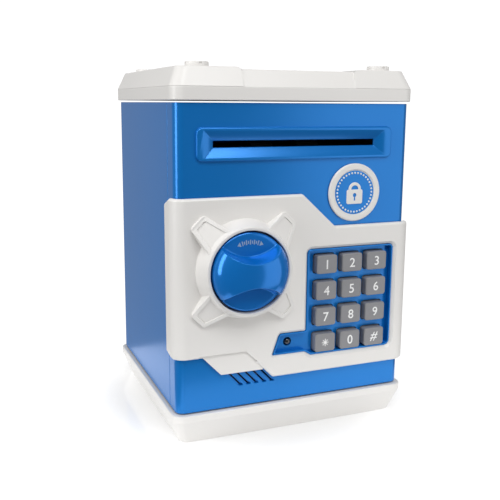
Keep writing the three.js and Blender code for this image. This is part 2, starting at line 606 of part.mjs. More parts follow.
// ---------------------------------------------------------------- knob and latch
function knobBody() {
  const rise = KNOB.rim - KNOB.crest;
  const domeSteps = 8;
  const dome = Array.from({ length: domeSteps + 1 }, (_, step) => {
    const angle = (step / domeSteps) * (Math.PI / 2);
    return [KNOB.r * Math.sin(angle), KNOB.rim - rise * Math.cos(angle)];
  });
  const { shell, hubR, hollow } = KNOB_INSIDE;
  const profile = [
    ...dome,
    [KNOB.r, KNOB.base],
    [KNOB.r - shell, KNOB.base],
    [KNOB.r - shell, KNOB.base - hollow],
    [hubR, KNOB.base - hollow],
    [hubR, KNOB.base],
    [KNOB.shaftR, KNOB.base],
    [KNOB.shaftR, CAM.front - GAP],
    [0, CAM.front - GAP],
  ];
  const body = turnedY(profile, KNOB.x, KNOB.z, 36);
  const away = SCOOP.r + SCOOP.gripHalf;
  const scoops = [-1, 1].map((side) =>
    rod('y', SCOOP.r, KNOB.crest - 2, KNOB.rim + SCOOP.below, KNOB.x, KNOB.z + side * away, 48),
  );
  const screwBore = rod('y', KNOB_SCREW.boreR, KNOB_SCREW.tip - 1, CAM.front, KNOB.x, KNOB.z, 12);
  return cut(body, ...scoops, screwBore);
}

function latchCam() {
  const disc = rod('y', CAM.r, CAM.front, CAM.back, KNOB.x, KNOB.z, 32);
  const half = CAM.tongue / 2;
  const tongue = box(KNOB.x - half, KNOB.x + half, CAM.front, CAM.back, KNOB.z, KNOB.z + CAM.reach);
  const notch = CAM.notch / 2;
  const y0 = CAM.front - 1;
  const y1 = CAM.back + 1;
  const far = CAM.r + 2;
  const below = box(KNOB.x - notch, KNOB.x + notch, y0, y1, KNOB.z - far, KNOB.z - CAM.notchR);
  const beside = box(KNOB.x - far, KNOB.x - CAM.notchR, y0, y1, KNOB.z - notch, KNOB.z + notch);
  return cut(join(disc, tongue), below, beside, rod('y', CAM.boreR, y0, y1, KNOB.x, KNOB.z, 12));
}

function lockPlunger() {
  const stem = rod('z', PLUNGER.r, PLUNGER.z0, PLUNGER.tip, SOLENOID.x, SOLENOID.y, 14);
  const collarTop = PLUNGER.collarZ + PLUNGER.collarH;
  const collar = rod('z', PLUNGER.collarR, PLUNGER.collarZ, collarTop, SOLENOID.x, SOLENOID.y, 14);
  return join(stem, collar);
}

function lockSolenoid() {
  const { x, y, halfX, halfY, z0, z1, boreR } = SOLENOID;
  const frame = box(x - halfX, x + halfX, y - halfY, y + halfY, z0, z1);
  return cut(frame, rod('z', boreR, PLUNGER.z0 - 1, z1 + 1, x, y, 16));
}

function plungerSpring() {
  const { turns, stepsPerTurn, coilR, wireR, clear } = SPRING;
  const steps = stepsPerTurn * turns;
  const low = SOLENOID.z1 + wireR + clear;
  const high = PLUNGER.collarZ - wireR - clear;
  const points = Array.from({ length: steps + 1 }, (_, i) => {
    const angle = (i / stepsPerTurn) * 2 * Math.PI;
    const x = SOLENOID.x + coilR * Math.cos(angle);
    const y = SOLENOID.y + coilR * Math.sin(angle);
    return new THREE.Vector3(x, y, low + ((high - low) * i) / steps);
  });
  const wire = new THREE.Shape().absarc(0, 0, wireR, 0, 2 * Math.PI);
  const extrudePath = new THREE.CatmullRomCurve3(points);
  return solid(new THREE.ExtrudeGeometry(wire, { steps, curveSegments: 4, extrudePath }));
}

// ---------------------------------------------------------------- keys, lamp and boards
function keyCap(x, z) {
  const { bevel } = KEY;
  const face = rectangle(KEY.halfX - bevel, KEY.halfZ - bevel, KEY.corner - bevel, x, z);
  const depth = KEY.back - KEY.front - 2 * bevel - KEY_FLANGE.thick / 2;
  const settings = { depth, bevelThickness: bevel, bevelSize: bevel, bevelSegments: 1, curveSegments: 2 };
  const cap = solid(
    new THREE.ExtrudeGeometry(face, settings)
      .rotateX(Math.PI / 2)
      .translate(0, KEY.front + bevel + depth, 0),
  );
  const { halfX, halfZ, thick } = KEY_FLANGE;
  return join(cap, box(x - halfX, x + halfX, KEY.back - thick, KEY.back, z - halfZ, z + halfZ));
}

function statusLed() {
  const tip = CARRIER.front - LED.proud;
  const domeR = LED.r;
  return turnedY(
    [
      [0, tip],
      [domeR * 0.6, tip + 0.3],
      [domeR * 0.92, tip + 0.9],
      [domeR, tip + 1.8],
      [domeR, LED.back],
      [0, LED.back],
    ],
    LED.x,
    LED.z,
    20,
  );
}

const boardOutline = [
  [-10.5, 43],
  [4, 43],
  [4, 39.5],
  [56, 39.5],
  [56, 97],
  [4, 97],
  [4, 53.5],
  [-10.5, 53.5],
];

function speaker() {
  const { r, depth } = SPEAKER;
  const profile = [
    [0, FRONT_IN + 2.5],
    [r - 3, FRONT_IN + 0.8],
    [r - 1.5, FRONT_IN + GAP],
    [r, FRONT_IN + GAP],
    [r, FRONT_IN + 2],
    [r - 5, FRONT_IN + depth],
    [0, FRONT_IN + depth],
  ];
  return turnedY(profile, SPEAKER.x, SPEAKER.z, 24);
}

// ---------------------------------------------------------------- note feed
const gearDistance = ((GEAR.wheelTeeth + GEAR.pinionTeeth) * GEAR.module) / 2 + 0.1;
const motorY = ROLLER.y + gearDistance * Math.SQRT1_2;
const motorZ = ROLLER.z - gearDistance * Math.SQRT1_2;
const meshAngle = -Math.PI / 4; // direction from the wheel to the pinion

function feedFrame() {
  const { x, wall, front, back, z0, z1 } = FEED;
  const slotBottom = NOTE_SLOT.z - NOTE_SLOT.halfZ;
  const cheeks = [-1, 1].map((side) => spanX(side * x, side * (x + wall), front, back, z0, z1));
  const { below, thick, windowX, windowY } = FEED_GUIDE;
  const guideTop = slotBottom - below;
  const guide = box(-x - LAP, x + LAP, front, back, guideTop - thick, guideTop);
  const bridge = box(-x - LAP, x + LAP, back - FEED_BRIDGE.deep, back, z1 - FEED_BRIDGE.thick, z1);
  const { plateHalfY } = MOTOR;
  const motorPlate = box(x, x + wall, motorY - plateHalfY, motorY + plateHalfY, motorZ - MOTOR.r, z0 + 1);
  const windows = [-1, 1].map((side) => {
    const middle = side * ROLLER.tyreX;
    const y0 = ROLLER.y - windowY;
    const y1 = ROLLER.y + windowY;
    return box(middle - windowX, middle + windowX, y0, y1, guideTop - thick - 1, guideTop + 1);
  });
  const bores = [
    rod('x', ROLLER.shaftR + SHAFT_CLEAR, -x - 5, x + 5, ROLLER.y, ROLLER.z, 16),
    rod('x', ROLLER.shaftR + SHAFT_CLEAR, -x - 5, x + 5, ROLLER.y, PINCH.z, 16),
    rod('x', MOTOR.bossR + SHAFT_CLEAR, x - 1, x + 5, motorY, motorZ, 16),
  ];
  return cut(join(...cheeks, guide, bridge, motorPlate), ...windows, ...bores);
}

function driveTyre(x) {
  const half = ROLLER.tyreHalf;
  const tyre = rod('x', ROLLER.r, x - half, x + half, ROLLER.y, ROLLER.z, 24);
  return cut(tyre, rod('x', ROLLER.shaftR + 0.1, x - half - 1, x + half + 1, ROLLER.y, ROLLER.z, 16));
}

function pinchRoller() {
  const shaft = rod('x', ROLLER.shaftR, -PINCH.halfX, PINCH.halfX, ROLLER.y, PINCH.z, 12);
  const half = ROLLER.tyreHalf;
  const tyres = [-1, 1].map((side) => {
    const x = side * ROLLER.tyreX;
    return rod('x', PINCH.r, x - half, x + half, ROLLER.y, PINCH.z, 24);
  });
  return join(shaft, ...tyres);
}

function feedMotor() {
  const { r, flat, x0, x1, bossR, bossHoleR } = MOTOR;
  const can = rod('x', r, x0, x1, motorY, motorZ, 28);
  const flats = [-1, 1].map((side) => {
    const near = motorZ + side * flat;
    return spanZ(x0 - 1, x1 + 1, motorY - r, motorY + r, near, motorZ + side * (r + 1));
  });
  const boss = rod('x', bossR, x1 - LAP, FEED.x + 1.5, motorY, motorZ, 16);
  return cut(join(cut(can, ...flats), boss), rod('x', bossHoleR, x1 - 4, FEED.x + 3, motorY, motorZ, 12));
}

function motorPinion() {
  const halfTurn = Math.PI + Math.PI / GEAR.pinionTeeth; // puts a gap, not a tooth, against the wheel
  const outline = gearOutline(GEAR.pinionTeeth, GEAR.module, motorY, motorZ, meshAngle + halfTurn);
  const shaft = rod('x', MOTOR.shaftR, MOTOR.x1 - 3, GEAR.x1, motorY, motorZ, 10);
  return join(raiseX(outline, GEAR.x0, GEAR.x1), shaft);
}

function rollerGear() {
  const outline = gearOutline(GEAR.wheelTeeth, GEAR.module, ROLLER.y, ROLLER.z, meshAngle);
  const bore = rod('x', ROLLER.shaftR + 0.1, GEAR.x0 - 1, GEAR.x1 + 1, ROLLER.y, ROLLER.z, 12);
  return cut(raiseX(outline, GEAR.x0, GEAR.x1), bore);
}

// ---------------------------------------------------------------- batteries
function cell(y) {
  const shoulder = CELL.halfLength - CELL_TIP.length;
  const tube = rod('x', CELL.r, -CELL.halfLength, shoulder, y, CELL.z, 20);
  return join(tube, rod('x', CELL_TIP.r, shoulder - LAP, CELL.halfLength, y, CELL.z, 12));
}

function batteryBox() {
  const { wall, top, halfX, halfY } = BAY;
  const shell = box(
    -halfX - wall,
    halfX + wall,
    CELL.y - halfY - wall,
    CELL.y + halfY + wall,
    BASE.floor + GAP,
    top,
  );
  const cavity = box(-halfX, halfX, CELL.y - halfY, CELL.y + halfY, 0, top - 1.2);
  const { reach, z } = BAY_NOTCH;
  const earNotch = box(
    halfX - 1,
    halfX + reach,
    CELL.y - BAY_NOTCH.halfY,
    CELL.y + BAY_NOTCH.halfY,
    0,
    z,
  );
  return cut(shell, cavity, earNotch);
}

function batteryCover() {
  const halfY = BAY.halfY - COVER.clearY;
  const plate = box(-COVER.halfX, COVER.halfX, CELL.y - halfY, CELL.y + halfY, GAP, COVER.top);
  const { x, holeR, screwX, sinkR, sinkZ } = COVER_EAR;
  const ear = box(COVER.halfX - 1, x, CELL.y - COVER_EAR.halfY, CELL.y + COVER_EAR.halfY, GAP, COVER.top);
  const hole = rod('z', holeR, -1, COVER.top + 1, screwX, CELL.y, 12);
  return cut(join(plate, ear), hole, rod('z', sinkR, -1, sinkZ, screwX, CELL.y, 16));
}

function contactStrip(side) {
  const face = side * (BAY.halfX - CONTACT.inset);
  const { thick, halfY, z0, z1 } = CONTACT;
  return spanX(face, face - side * thick, CELL.y - halfY, CELL.y + halfY, z0, z1);
}

// ---------------------------------------------------------------- helpers for mirrored boxes
function spanX(xa, xb, y0, y1, z0, z1) {
  return box(Math.min(xa, xb), Math.max(xa, xb), y0, y1, z0, z1);
}

function spanZ(x0, x1, y0, y1, za, zb) {
  return box(x0, x1, y0, y1, Math.min(za, zb), Math.max(za, zb));
}

// ---------------------------------------------------------------- assembly
add('front_shell', frontShell(), BLUE);
add('rear_shell', rearShell(), BLUE);
add('top_lid', topLid(), WHITE);
add('base_tray', baseTray(), WHITE);
add('inner_floor', innerFloor(), BLUE);

add('door_panel', doorPanel(), WHITE);
add('keypad_plate', keypadPlate(), BLUE);
add('door_back', doorBack(), BLUE);
add('hinge_pin', rod('z', HINGE.pinR, HINGE_PIN.z0, HINGE_PIN.z1, HINGE.x, HINGE.y, 12), STEEL);
doorScrews.forEach(([x, z], i) => {
  const { tip, shankR, headR, headH } = DOOR_SCREW;
  add(`door_screw_${i + 1}`, panScrewY(x, z, tip, DOOR_BOX.back + GAP, shankR, headR, headH), STEEL);
});

add('knob', knobBody(), BLUE);
add('latch_cam', latchCam(), BLACK);
{
  const { tip, shankR, headR, headH } = KNOB_SCREW;
  add('knob_screw', panScrewY(KNOB.x, KNOB.z, tip, CAM.back + GAP, shankR, headR, headH), STEEL);
}
add('lock_solenoid', lockSolenoid(), STEEL);
add('lock_plunger', lockPlunger(), STEEL);
add('plunger_spring', plungerSpring(), STEEL);

KEY_ROWS.forEach((z, row) => {
  KEY_COLUMNS.forEach((x, column) => add(KEY_NAMES[row][column], keyCap(x, z), KEY_GREY));
});
add('status_led', statusLed(), LENS);
{
  const { x, z, halfX, halfZ, corner, front, back } = MEMBRANE;
  add('keypad_membrane', raiseY(rectangle(halfX, halfZ, corner, x, z), front, back), RUBBER);
}
add('keypad_board', raiseY(polygon(boardOutline), BOARD_Y.front, BOARD_Y.back), BOARD);

const badgeBack = -BODY.halfY - GAP;
add('badge', rod('y', BADGE.r, badgeBack - BADGE.thick, badgeBack, BADGE.x, BADGE.z, 40), WHITE);
add('speaker', speaker(), BLACK);

add('feed_frame', feedFrame(), BLACK);
add('drive_shaft', rod('x', ROLLER.shaftR, ROLLER.x0, ROLLER.x1, ROLLER.y, ROLLER.z, 12), STEEL);
add('drive_tyre_left', driveTyre(-ROLLER.tyreX), RUBBER);
add('drive_tyre_right', driveTyre(ROLLER.tyreX), RUBBER);
add('pinch_roller', pinchRoller(), RUBBER);
add('feed_motor', feedMotor(), STEEL);
add('motor_pinion', motorPinion(), BRASS);
add('roller_gear', rollerGear(), WHITE);

add('battery_box', batteryBox(), BLACK);
[-1, 0, 1].forEach((place, i) => {
  add(`battery_${i + 1}`, cell(CELL.y + place * CELL.pitch), CELL_WRAP);
});
add('battery_contact_left', contactStrip(-1), STEEL);
add('battery_contact_right', contactStrip(1), STEEL);
add('battery_cover', batteryCover(), WHITE);
{
  const { seat, tip, shankR, headR, headH } = COVER_SCREW;
  add('battery_cover_screw', panScrewZ(COVER_EAR.screwX, CELL.y, seat, tip, shankR, headR, headH), STEEL);
}

corners.forEach(([sx, sy], i) => {
  const { tip, shankR, headR, headH } = BASE_SCREW;
  const seat = SCREW_POST.sinkZ - GAP;
  const screw = panScrewZ(sx * SCREW_POST.x, sy * SCREW_POST.y, seat, tip, shankR, headR, headH);
  add(`base_screw_${i + 1}`, screw, STEEL);
});

export default group;
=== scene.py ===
import json
import math

import bmesh
import bpy
import numpy as np
from mathutils import Matrix, Vector


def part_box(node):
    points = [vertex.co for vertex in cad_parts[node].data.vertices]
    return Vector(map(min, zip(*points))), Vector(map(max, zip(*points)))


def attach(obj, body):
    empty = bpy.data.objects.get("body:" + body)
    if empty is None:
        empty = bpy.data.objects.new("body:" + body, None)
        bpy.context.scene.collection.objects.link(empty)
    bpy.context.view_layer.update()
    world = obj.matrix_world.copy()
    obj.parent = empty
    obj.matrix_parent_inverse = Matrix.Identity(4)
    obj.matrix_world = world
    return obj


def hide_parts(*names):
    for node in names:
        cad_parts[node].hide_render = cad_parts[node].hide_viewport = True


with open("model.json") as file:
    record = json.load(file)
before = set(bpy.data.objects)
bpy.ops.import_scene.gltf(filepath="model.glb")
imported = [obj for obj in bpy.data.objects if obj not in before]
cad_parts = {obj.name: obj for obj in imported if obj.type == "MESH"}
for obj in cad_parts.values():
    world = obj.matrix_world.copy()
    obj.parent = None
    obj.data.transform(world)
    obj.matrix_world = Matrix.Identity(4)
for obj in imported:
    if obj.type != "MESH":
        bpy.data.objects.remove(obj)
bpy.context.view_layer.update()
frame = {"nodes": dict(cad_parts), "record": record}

MM = 0.001


# ------------------------------------------------------------------ outlines
def rounded(corners, steps=6, closed=True):
    """Outline through (a, b, radius) corners, each turned into an arc. The ends of an open one stay sharp."""
    outline = []
    last = len(corners) - 1
    for i, (a, b, radius) in enumerate(corners):
        if radius == 0 or (not closed and i in (0, last)):
            outline.append((a, b))
            continue
        here = Vector((a, b))
        back = (Vector(corners[i - 1][:2]) - here).normalized()
        ahead = (Vector(corners[(i + 1) % len(corners)][:2]) - here).normalized()
        half = math.acos(max(-1.0, min(1.0, back.dot(ahead)))) / 2
        centre = here + (back + ahead).normalized() * radius / math.sin(half)
        arm = here + back * radius / math.tan(half) - centre
        stop = here + ahead * radius / math.tan(half) - centre
        start = math.atan2(arm.y, arm.x)
        turn = (math.atan2(stop.y, stop.x) - start + math.pi) % (2 * math.pi) - math.pi
        for k in range(steps + 1):
            angle = start + turn * k / steps
            outline.append((centre.x + radius * math.cos(angle), centre.y + radius * math.sin(angle)))
    return outline


def rectangle(half_a, half_b, radius, a=0.0, b=0.0, steps=6):
    signs = ((-1, -1), (1, -1), (1, 1), (-1, 1))
    return rounded([(a + i * half_a, b + j * half_b, radius) for i, j in signs], steps)


def circle(radius, a=0.0, b=0.0, sides=48):
    turns = [2 * math.pi * k / sides for k in range(sides)]
    return [(a + radius * math.cos(t), b + radius * math.sin(t)) for t in turns]


def offset(outline, distance):
    """Moves every edge of a counter-clockwise outline outwards."""
    points = np.array(outline, float)
    before = points - np.roll(points, 1, axis=0)
    after = np.roll(points, -1, axis=0) - points
    n = np.stack([before[:, 1], -before[:, 0]], axis=1)
    m = np.stack([after[:, 1], -after[:, 0]], axis=1)
    n /= np.linalg.norm(n, axis=1)[:, None]
    m /= np.linalg.norm(m, axis=1)[:, None]
    return [tuple(p) for p in points + (n + m) * distance / (1 + (n * m).sum(axis=1))[:, None]]


def grown(corners, distance):
    """The (a, b, radius) corners of an outline that runs this far outside the given one."""
    moved = offset([corner[:2] for corner in corners], distance)
    result = []
    for i, (a, b, radius) in enumerate(corners):
        before = (a - corners[i - 1][0], b - corners[i - 1][1])
        after = (corners[(i + 1) % len(corners)][0] - a, corners[(i + 1) % len(corners)][1] - b)
        outward = 1 if before[0] * after[1] > before[1] * after[0] else -1
        result.append((*moved[i], max(0.15, radius + outward * distance)))
    return result


def quarter(radius, steps=4):
    """(inset, depth) pairs down a rounded edge, from the face to the side."""
    angles = [math.pi / 2 * k / steps for k in range(steps + 1)]
    return [(radius * (1 - math.sin(t)), radius * (1 - math.cos(t))) for t in angles]


# ------------------------------------------------------------------ solids
def facing(outline, y):
    """An outline in X,Z set upright at y."""
    return [(a, y, b) for a, b in outline]


def level(outline, z):
    """An outline in X,Y laid flat at z."""
    return [(a, b, z) for a, b in outline]


def add_object(name, mesh_builder):
    """Turns a bmesh into an object."""
    mesh = bpy.data.meshes.new(name)
    bmesh.ops.recalc_face_normals(mesh_builder, faces=mesh_builder.faces)
    mesh_builder.to_mesh(mesh)
    mesh_builder.free()
    made = bpy.data.objects.new(name, mesh)
    bpy.context.scene.collection.objects.link(made)
    return made


def loft(name, rings, hollow=False):
    """Solid through rings of equal length with closed ends; a hollow one's last ring meets its first."""
    build = bmesh.new()
    loops = [[build.verts.new(Vector(p) * MM) for p in ring] for ring in rings]
    count = len(loops[0])
    for near, far in zip(loops, loops[1:] + loops[:1] if hollow else loops[1:]):
        for i in range(count):
            j = (i + 1) % count
            build.faces.new((near[i], near[j], far[j], far[i]))
    if not hollow:
        build.faces.new(list(reversed(loops[0])))
        build.faces.new(loops[-1])
    return add_object(name, build)


def plate(name, outline, place, start, end, round_start=0.0, round_end=0.0, steps=4):
    """The outline carried from start to end, with either end's edge rounded."""
    way = 1 if end > start else -1
    rings = []
    if round_start:
        for inset, depth in quarter(round_start, steps):
            rings.append(place(offset(outline, -inset), start + way * depth))
    else:
        rings.append(place(outline, start))
    if round_end:
        for inset, depth in reversed(quarter(round_end, steps)):
            rings.append(place(offset(outline, -inset), end - way * depth))
    else:
        rings.append(place(outline, end))
    return loft(name, rings)


def block(x0, x1, y0, y1, z0, z1, name="block"):
    return plate(name, [(x0, y0), (x1, y0), (x1, y1), (x0, y1)], level, z0, z1)


def rod(radius, place, start, end, a, b, sides=32, name="rod"):
    return plate(name, circle(radius, a, b, sides), place, start, end)


def turned(name, profile, x, z, sides=96):
    """Solid turned about a line along Y; the profile lists (radius, y) and starts and ends on the line."""
    build = bmesh.new()
    rings = []
    for radius, y in profile:
        if radius == 0:
            rings.append([build.verts.new(Vector((x, y, z)) * MM)])
        else:
            spots = circle(radius, x, z, sides)
            rings.append([build.verts.new(Vector((a, y, b)) * MM) for a, b in spots])
    for near, far in zip(rings, rings[1:]):
        for i in range(sides):
            j = (i + 1) % sides
            if len(near) == 1:
                build.faces.new((near[0], far[j], far[i]))
            elif len(far) == 1:
                build.faces.new((near[i], near[j], far[0]))
            else:
                build.faces.new((near[i], near[j], far[j], far[i]))
    return add_object(name, build)


def bake(piece):
    """Applies the piece's modifiers to its mesh."""
    shown = piece.evaluated_get(bpy.context.evaluated_depsgraph_get())
    old = piece.data
    piece.data = bpy.data.meshes.new_from_object(shown)
    piece.modifiers.clear()
    bpy.data.meshes.remove(old)
    return piece


def combine(piece, operation, tools):
    """Joins ("UNION"), cuts ("DIFFERENCE") or keeps what is common ("INTERSECT"), one tool at a time."""
    for tool in tools:
        change = piece.modifiers.new("combine", "BOOLEAN")
        change.operation = operation
        change.solver = "EXACT"
        change.object = tool
        bake(piece)
        bpy.data.objects.remove(tool)
    return piece


def cut(piece, *tools):
    return combine(piece, "DIFFERENCE", tools)


def join(piece, *tools):
    return combine(piece, "UNION", tools)


def ease(piece, width, segments=2, angle=34):
    """Breaks the sharp edges, as a mould does."""
    build = bmesh.new()
    build.from_mesh(piece.data)
    bmesh.ops.remove_doubles(build, verts=build.verts, dist=0.01 * MM)
    flat = math.radians(0.3)
    bmesh.ops.dissolve_limit(
        build, angle_limit=flat, verts=build.verts, edges=build.edges, use_dissolve_boundaries=False
    )
    build.to_mesh(piece.data)
    build.free()
    soft = piece.modifiers.new("ease", "BEVEL")
    soft.width = width * MM
    soft.segments = segments
    soft.limit_method = "ANGLE"
    soft.angle_limit = math.radians(angle)
    soft.use_clamp_overlap = False
    soft.miter_outer = "MITER_ARC"
    return bake(piece)


def dress(piece, material, body, replaces=(), crease=38):
    """Gives a finished piece its material, shading and body, and hides the CAD parts it replaces."""
    piece.data.materials.clear()
    piece.data.materials.append(material)
    piece.data.shade_smooth()
    piece.data.set_sharp_from_angle(angle=math.radians(crease))
    even = piece.modifiers.new("even", "WEIGHTED_NORMAL")
    even.keep_sharp = True
    bake(piece)
    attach(piece, body)
    if replaces:
        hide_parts(*replaces)
    return piece


# ------------------------------------------------------------------ materials
def linear(red, green, blue):
    """Scene-linear colour of an 8-bit screen colour."""
    parts = []
    for value in (red, green, blue):
        v = value / 255
        parts.append(v / 12.92 if v <= 0.04045 else ((v + 0.055) / 1.055) ** 2.4)
    return (*parts, 1.0)


def plastic(name, colour, roughness, coat=0.0, grain=0.05, grain_mm=0.5, shade=0.03, metallic=0.0):
    """Moulded plastic or metal: a fine skin texture, cloudy gloss and a slight drift in colour."""
    material = bpy.data.materials.new(name)
    material.use_nodes = True
    nodes, links = material.node_tree.nodes, material.node_tree.links
    surface = nodes["Principled BSDF"]
    surface.inputs["Metallic"].default_value = metallic
    surface.inputs["Coat Weight"].default_value = coat
    surface.inputs["Coat Roughness"].default_value = 0.08
    place = nodes.new("ShaderNodeTexCoord").outputs["Object"]

    def noise(size_mm, detail):
        texture = nodes.new("ShaderNodeTexNoise")
        texture.inputs["Scale"].default_value = 1 / (size_mm * MM)
        texture.inputs["Detail"].default_value = detail
        links.new(place, texture.inputs["Vector"])
        return texture.outputs["Fac"]

    drift = nodes.new("ShaderNodeMix")
    drift.data_type = "RGBA"
    drift.inputs["A"].default_value = tuple(c * (1 - shade) for c in colour[:3]) + (1.0,)
    drift.inputs["B"].default_value = tuple(min(1.0, c * (1 + shade)) for c in colour[:3]) + (1.0,)
    links.new(noise(38, 2), drift.inputs["Factor"])
    links.new(drift.outputs["Result"], surface.inputs["Base Color"])

    gloss = nodes.new("ShaderNodeMapRange")
    gloss.inputs["From Min"].default_value = 0.3
    gloss.inputs["From Max"].default_value = 0.7
    gloss.inputs["To Min"].default_value = roughness * 0.96
    gloss.inputs["To Max"].default_value = roughness * 1.04
    links.new(noise(9, 3), gloss.inputs["Value"])
    links.new(gloss.outputs["Result"], surface.inputs["Roughness"])

    skin = nodes.new("ShaderNodeBump")
    skin.inputs["Strength"].default_value = grain
    skin.inputs["Distance"].default_value = 0.05 * MM
    links.new(noise(grain_mm, 3), skin.inputs["Height"])
    links.new(skin.outputs["Normal"], surface.inputs["Normal"])
    return material


WHITE = plastic("white_abs", linear(233, 231, 228), 0.32, grain=0.04, grain_mm=0.6, shade=0.01)
BLUE = plastic("blue_abs", linear(7, 120, 203), 0.22, grain=0.04, grain_mm=0.6, shade=0.02, metallic=0.35)
KNOB_BLUE = plastic(
    "gloss_blue_abs", linear(8, 120, 208), 0.16, grain=0.02, grain_mm=0.9, shade=0.02, metallic=0.35
)
KEY_GREY = plastic("key_grey", linear(140, 140, 143), 0.38, grain=0.25, grain_mm=0.35)
INK = plastic("legend_white", linear(246, 246, 246), 0.5, grain=0.1)
PALE_INK = plastic("legend_grey", linear(150, 168, 190), 0.5, grain=0.1)
BLACK = plastic("black_plastic", linear(34, 34, 37), 0.5, grain=0.2)
LENS = plastic("dark_lens", linear(16, 20, 26), 0.08, coat=1.0, grain=0.0)
STEEL = plastic("plated_steel", linear(190, 192, 196), 0.28, grain=0.1, grain_mm=0.3, metallic=1.0)
BRASS = plastic("brass", linear(205, 168, 88), 0.3, grain=0.1, grain_mm=0.3, metallic=1.0)
RUBBER = plastic("rubber", linear(52, 52, 54), 0.8, grain=0.4, grain_mm=0.3)
BOARD = plastic("board", linear(26, 96, 58), 0.35, grain=0.2, grain_mm=0.8)
CELL = plastic("cell_wrap", linear(150, 152, 158), 0.3, grain=0.05, metallic=0.4)

# ------------------------------------------------------------------ sizes shared by several pieces
BODY_X, BODY_FRONT, BODY_BACK = 63.5, -58.0, 58.0
BODY_LOW, BODY_HIGH = 16.8, 168.0
BODY_CORNER = 4.5
WALL = 2.5
SHELL_EDGE = 0.25
SPLIT = -45.5  # where the front and rear shells meet
GAP = 0.3
BEZEL_FACE = BODY_FRONT - 1.5
NOTE_SLOT_X, NOTE_SLOT_Z = -0.6, 148.6
DOOR_FACE = -61.0
KNOB_X, KNOB_Z = -30.0, 88.5
POST_X, POST_Y = 52.0, 46.5
POST_INNER, POST_TOP = 47.5, 30
HINGE_X, HINGE_Y = 61.9, -48.3
FAR = 100.0


# ------------------------------------------------------------------ body shells
def shell_plan(open_y, end_y):
    """Outline from above of a U-shaped wall that is open at open_y and closed at end_y."""
    way = 1 if end_y > open_y else -1
    inner_y = end_y - way * WALL
    inner_x = BODY_X - WALL
    corners = [
        (-BODY_X, open_y, SHELL_EDGE),
        (-BODY_X, end_y, BODY_CORNER),
        (BODY_X, end_y, BODY_CORNER),
        (BODY_X, open_y, SHELL_EDGE),
        (inner_x, open_y, SHELL_EDGE),
        (inner_x, inner_y, WALL),
        (-inner_x, inner_y, WALL),
        (-inner_x, open_y, SHELL_EDGE),
    ]
    return rounded(corners if way < 0 else corners[::-1], steps=10)


def note_bezel():
    """The raised frame round the note slot."""
    outline = rectangle(52.8, 7.9, 3, NOTE_SLOT_X, NOTE_SLOT_Z)
    return plate("bezel", outline, facing, BEZEL_FACE, BODY_FRONT + 1, round_start=0.7)


def note_slot():
    """Tools that cut out the slot and the funnel that leads into it."""
    mouth = rectangle(48.8, 6.2, 0.3, NOTE_SLOT_X, NOTE_SLOT_Z)
    throat = rectangle(43.8, 1.6, 0.3, NOTE_SLOT_X, NOTE_SLOT_Z)
    funnel = loft("funnel", [facing(mouth, BEZEL_FACE - 0.01), facing(throat, BODY_FRONT + 1.5)])
    return funnel, plate("slot", throat, facing, BODY_FRONT - 3, BODY_FRONT + 5)


def doorway():
    """A tool that cuts out the opening behind the door, through to the front shell's right edge."""
    radius = 1.5
    left, right, low, high = -50, 70, 35, 118
    corners = [
        (left, 49.9, radius),
        (-26.3, 49.9, radius),
        (-11.8, low, radius),
        (right, low, 0),
        (right, 102, 0),
        (15.9, 102, radius),
        (-2.2, high, radius),
        (left, high, radius),
    ]
    return plate("doorway", rounded(corners), facing, -FAR, SPLIT + 2)


def sound_vents(shell):
    """Cuts slanting grooves below the door, each with a narrower slit through its bottom."""
    count, first_x, pitch = 5, -29.8, 4.3
    low, high, lean = 27.5, 37, 8.8
    groove, slit = (1.3, 0.3, 1.1), (0.5, 0.1, 4)
    for i in range(count):
        x = first_x + i * pitch
        for half, radius, depth in (groove, slit):
            ends = ((x - half, low), (x + half, low), (x + half - lean, high), (x - half - lean, high))
            vent = rounded([(*end, radius) for end in ends], 4)
            cut(shell, plate("vent", vent, facing, BODY_FRONT - 1, BODY_FRONT + depth))


def front_shell():
    plan = shell_plan(SPLIT - GAP / 2, BODY_FRONT)
    shell = plate("front_shell", plan, level, BODY_LOW, BODY_HIGH, SHELL_EDGE, SHELL_EDGE)
    join(shell, note_bezel())
    cut(shell, *note_slot(), doorway())
    sound_vents(shell)
    inside = BODY_FRONT + WALL - 0.2
    post_sides = ((-60.6, -POST_INNER), (POST_INNER, 60.6))
    posts = [block(x0, x1, inside, -42, BODY_LOW + 0.4, POST_TOP) for x0, x1 in post_sides]
    strike = block(-56, -51, inside, -53.6, 80.5, 96.5)
    hinge_ears = [block(59, 61.3, -52, -46, z0, z1) for z0, z1 in ((31, 34.9), (102.1, 108))]
    join(shell, *posts, strike, *hinge_ears)
    ease(shell, 0.22)
    return dress(shell, BLUE, "bank_body", ["front_shell"])


def rear_shell():
    plan = shell_plan(SPLIT + GAP / 2, BODY_BACK)
    shell = plate("rear_shell", plan, level, BODY_LOW, BODY_HIGH, SHELL_EDGE, SHELL_EDGE)
    in_wall = 61.2
    ledge_inner, ledge_low, ledge_high = 58.5, 16.8, 18.7
    for side in (-1, 1):
        x0, x1 = sorted((side * POST_INNER, side * in_wall))
        join(shell, block(x0, x1, 41, BODY_BACK - WALL + 0.2, BODY_LOW + 0.4, POST_TOP))
        x0, x1 = sorted((side * ledge_inner, side * in_wall))
        join(shell, block(x0, x1, -30, 36, ledge_low, ledge_high))
    ease(shell, 0.2)
    return dress(shell, BLUE, "bank_body", ["rear_shell"])


# ------------------------------------------------------------------ lid and base
LID_X, LID_Y = 65.1, 59.8
LID_LOW, LID_BAND, LID_TOP = 169.0, 175.5, 184.7
LID_STEP = 1.1  # the middle of the lid lies this far below the strips along its sides
LID_CORNER, LID_TIGHTEN = 6, 0.18


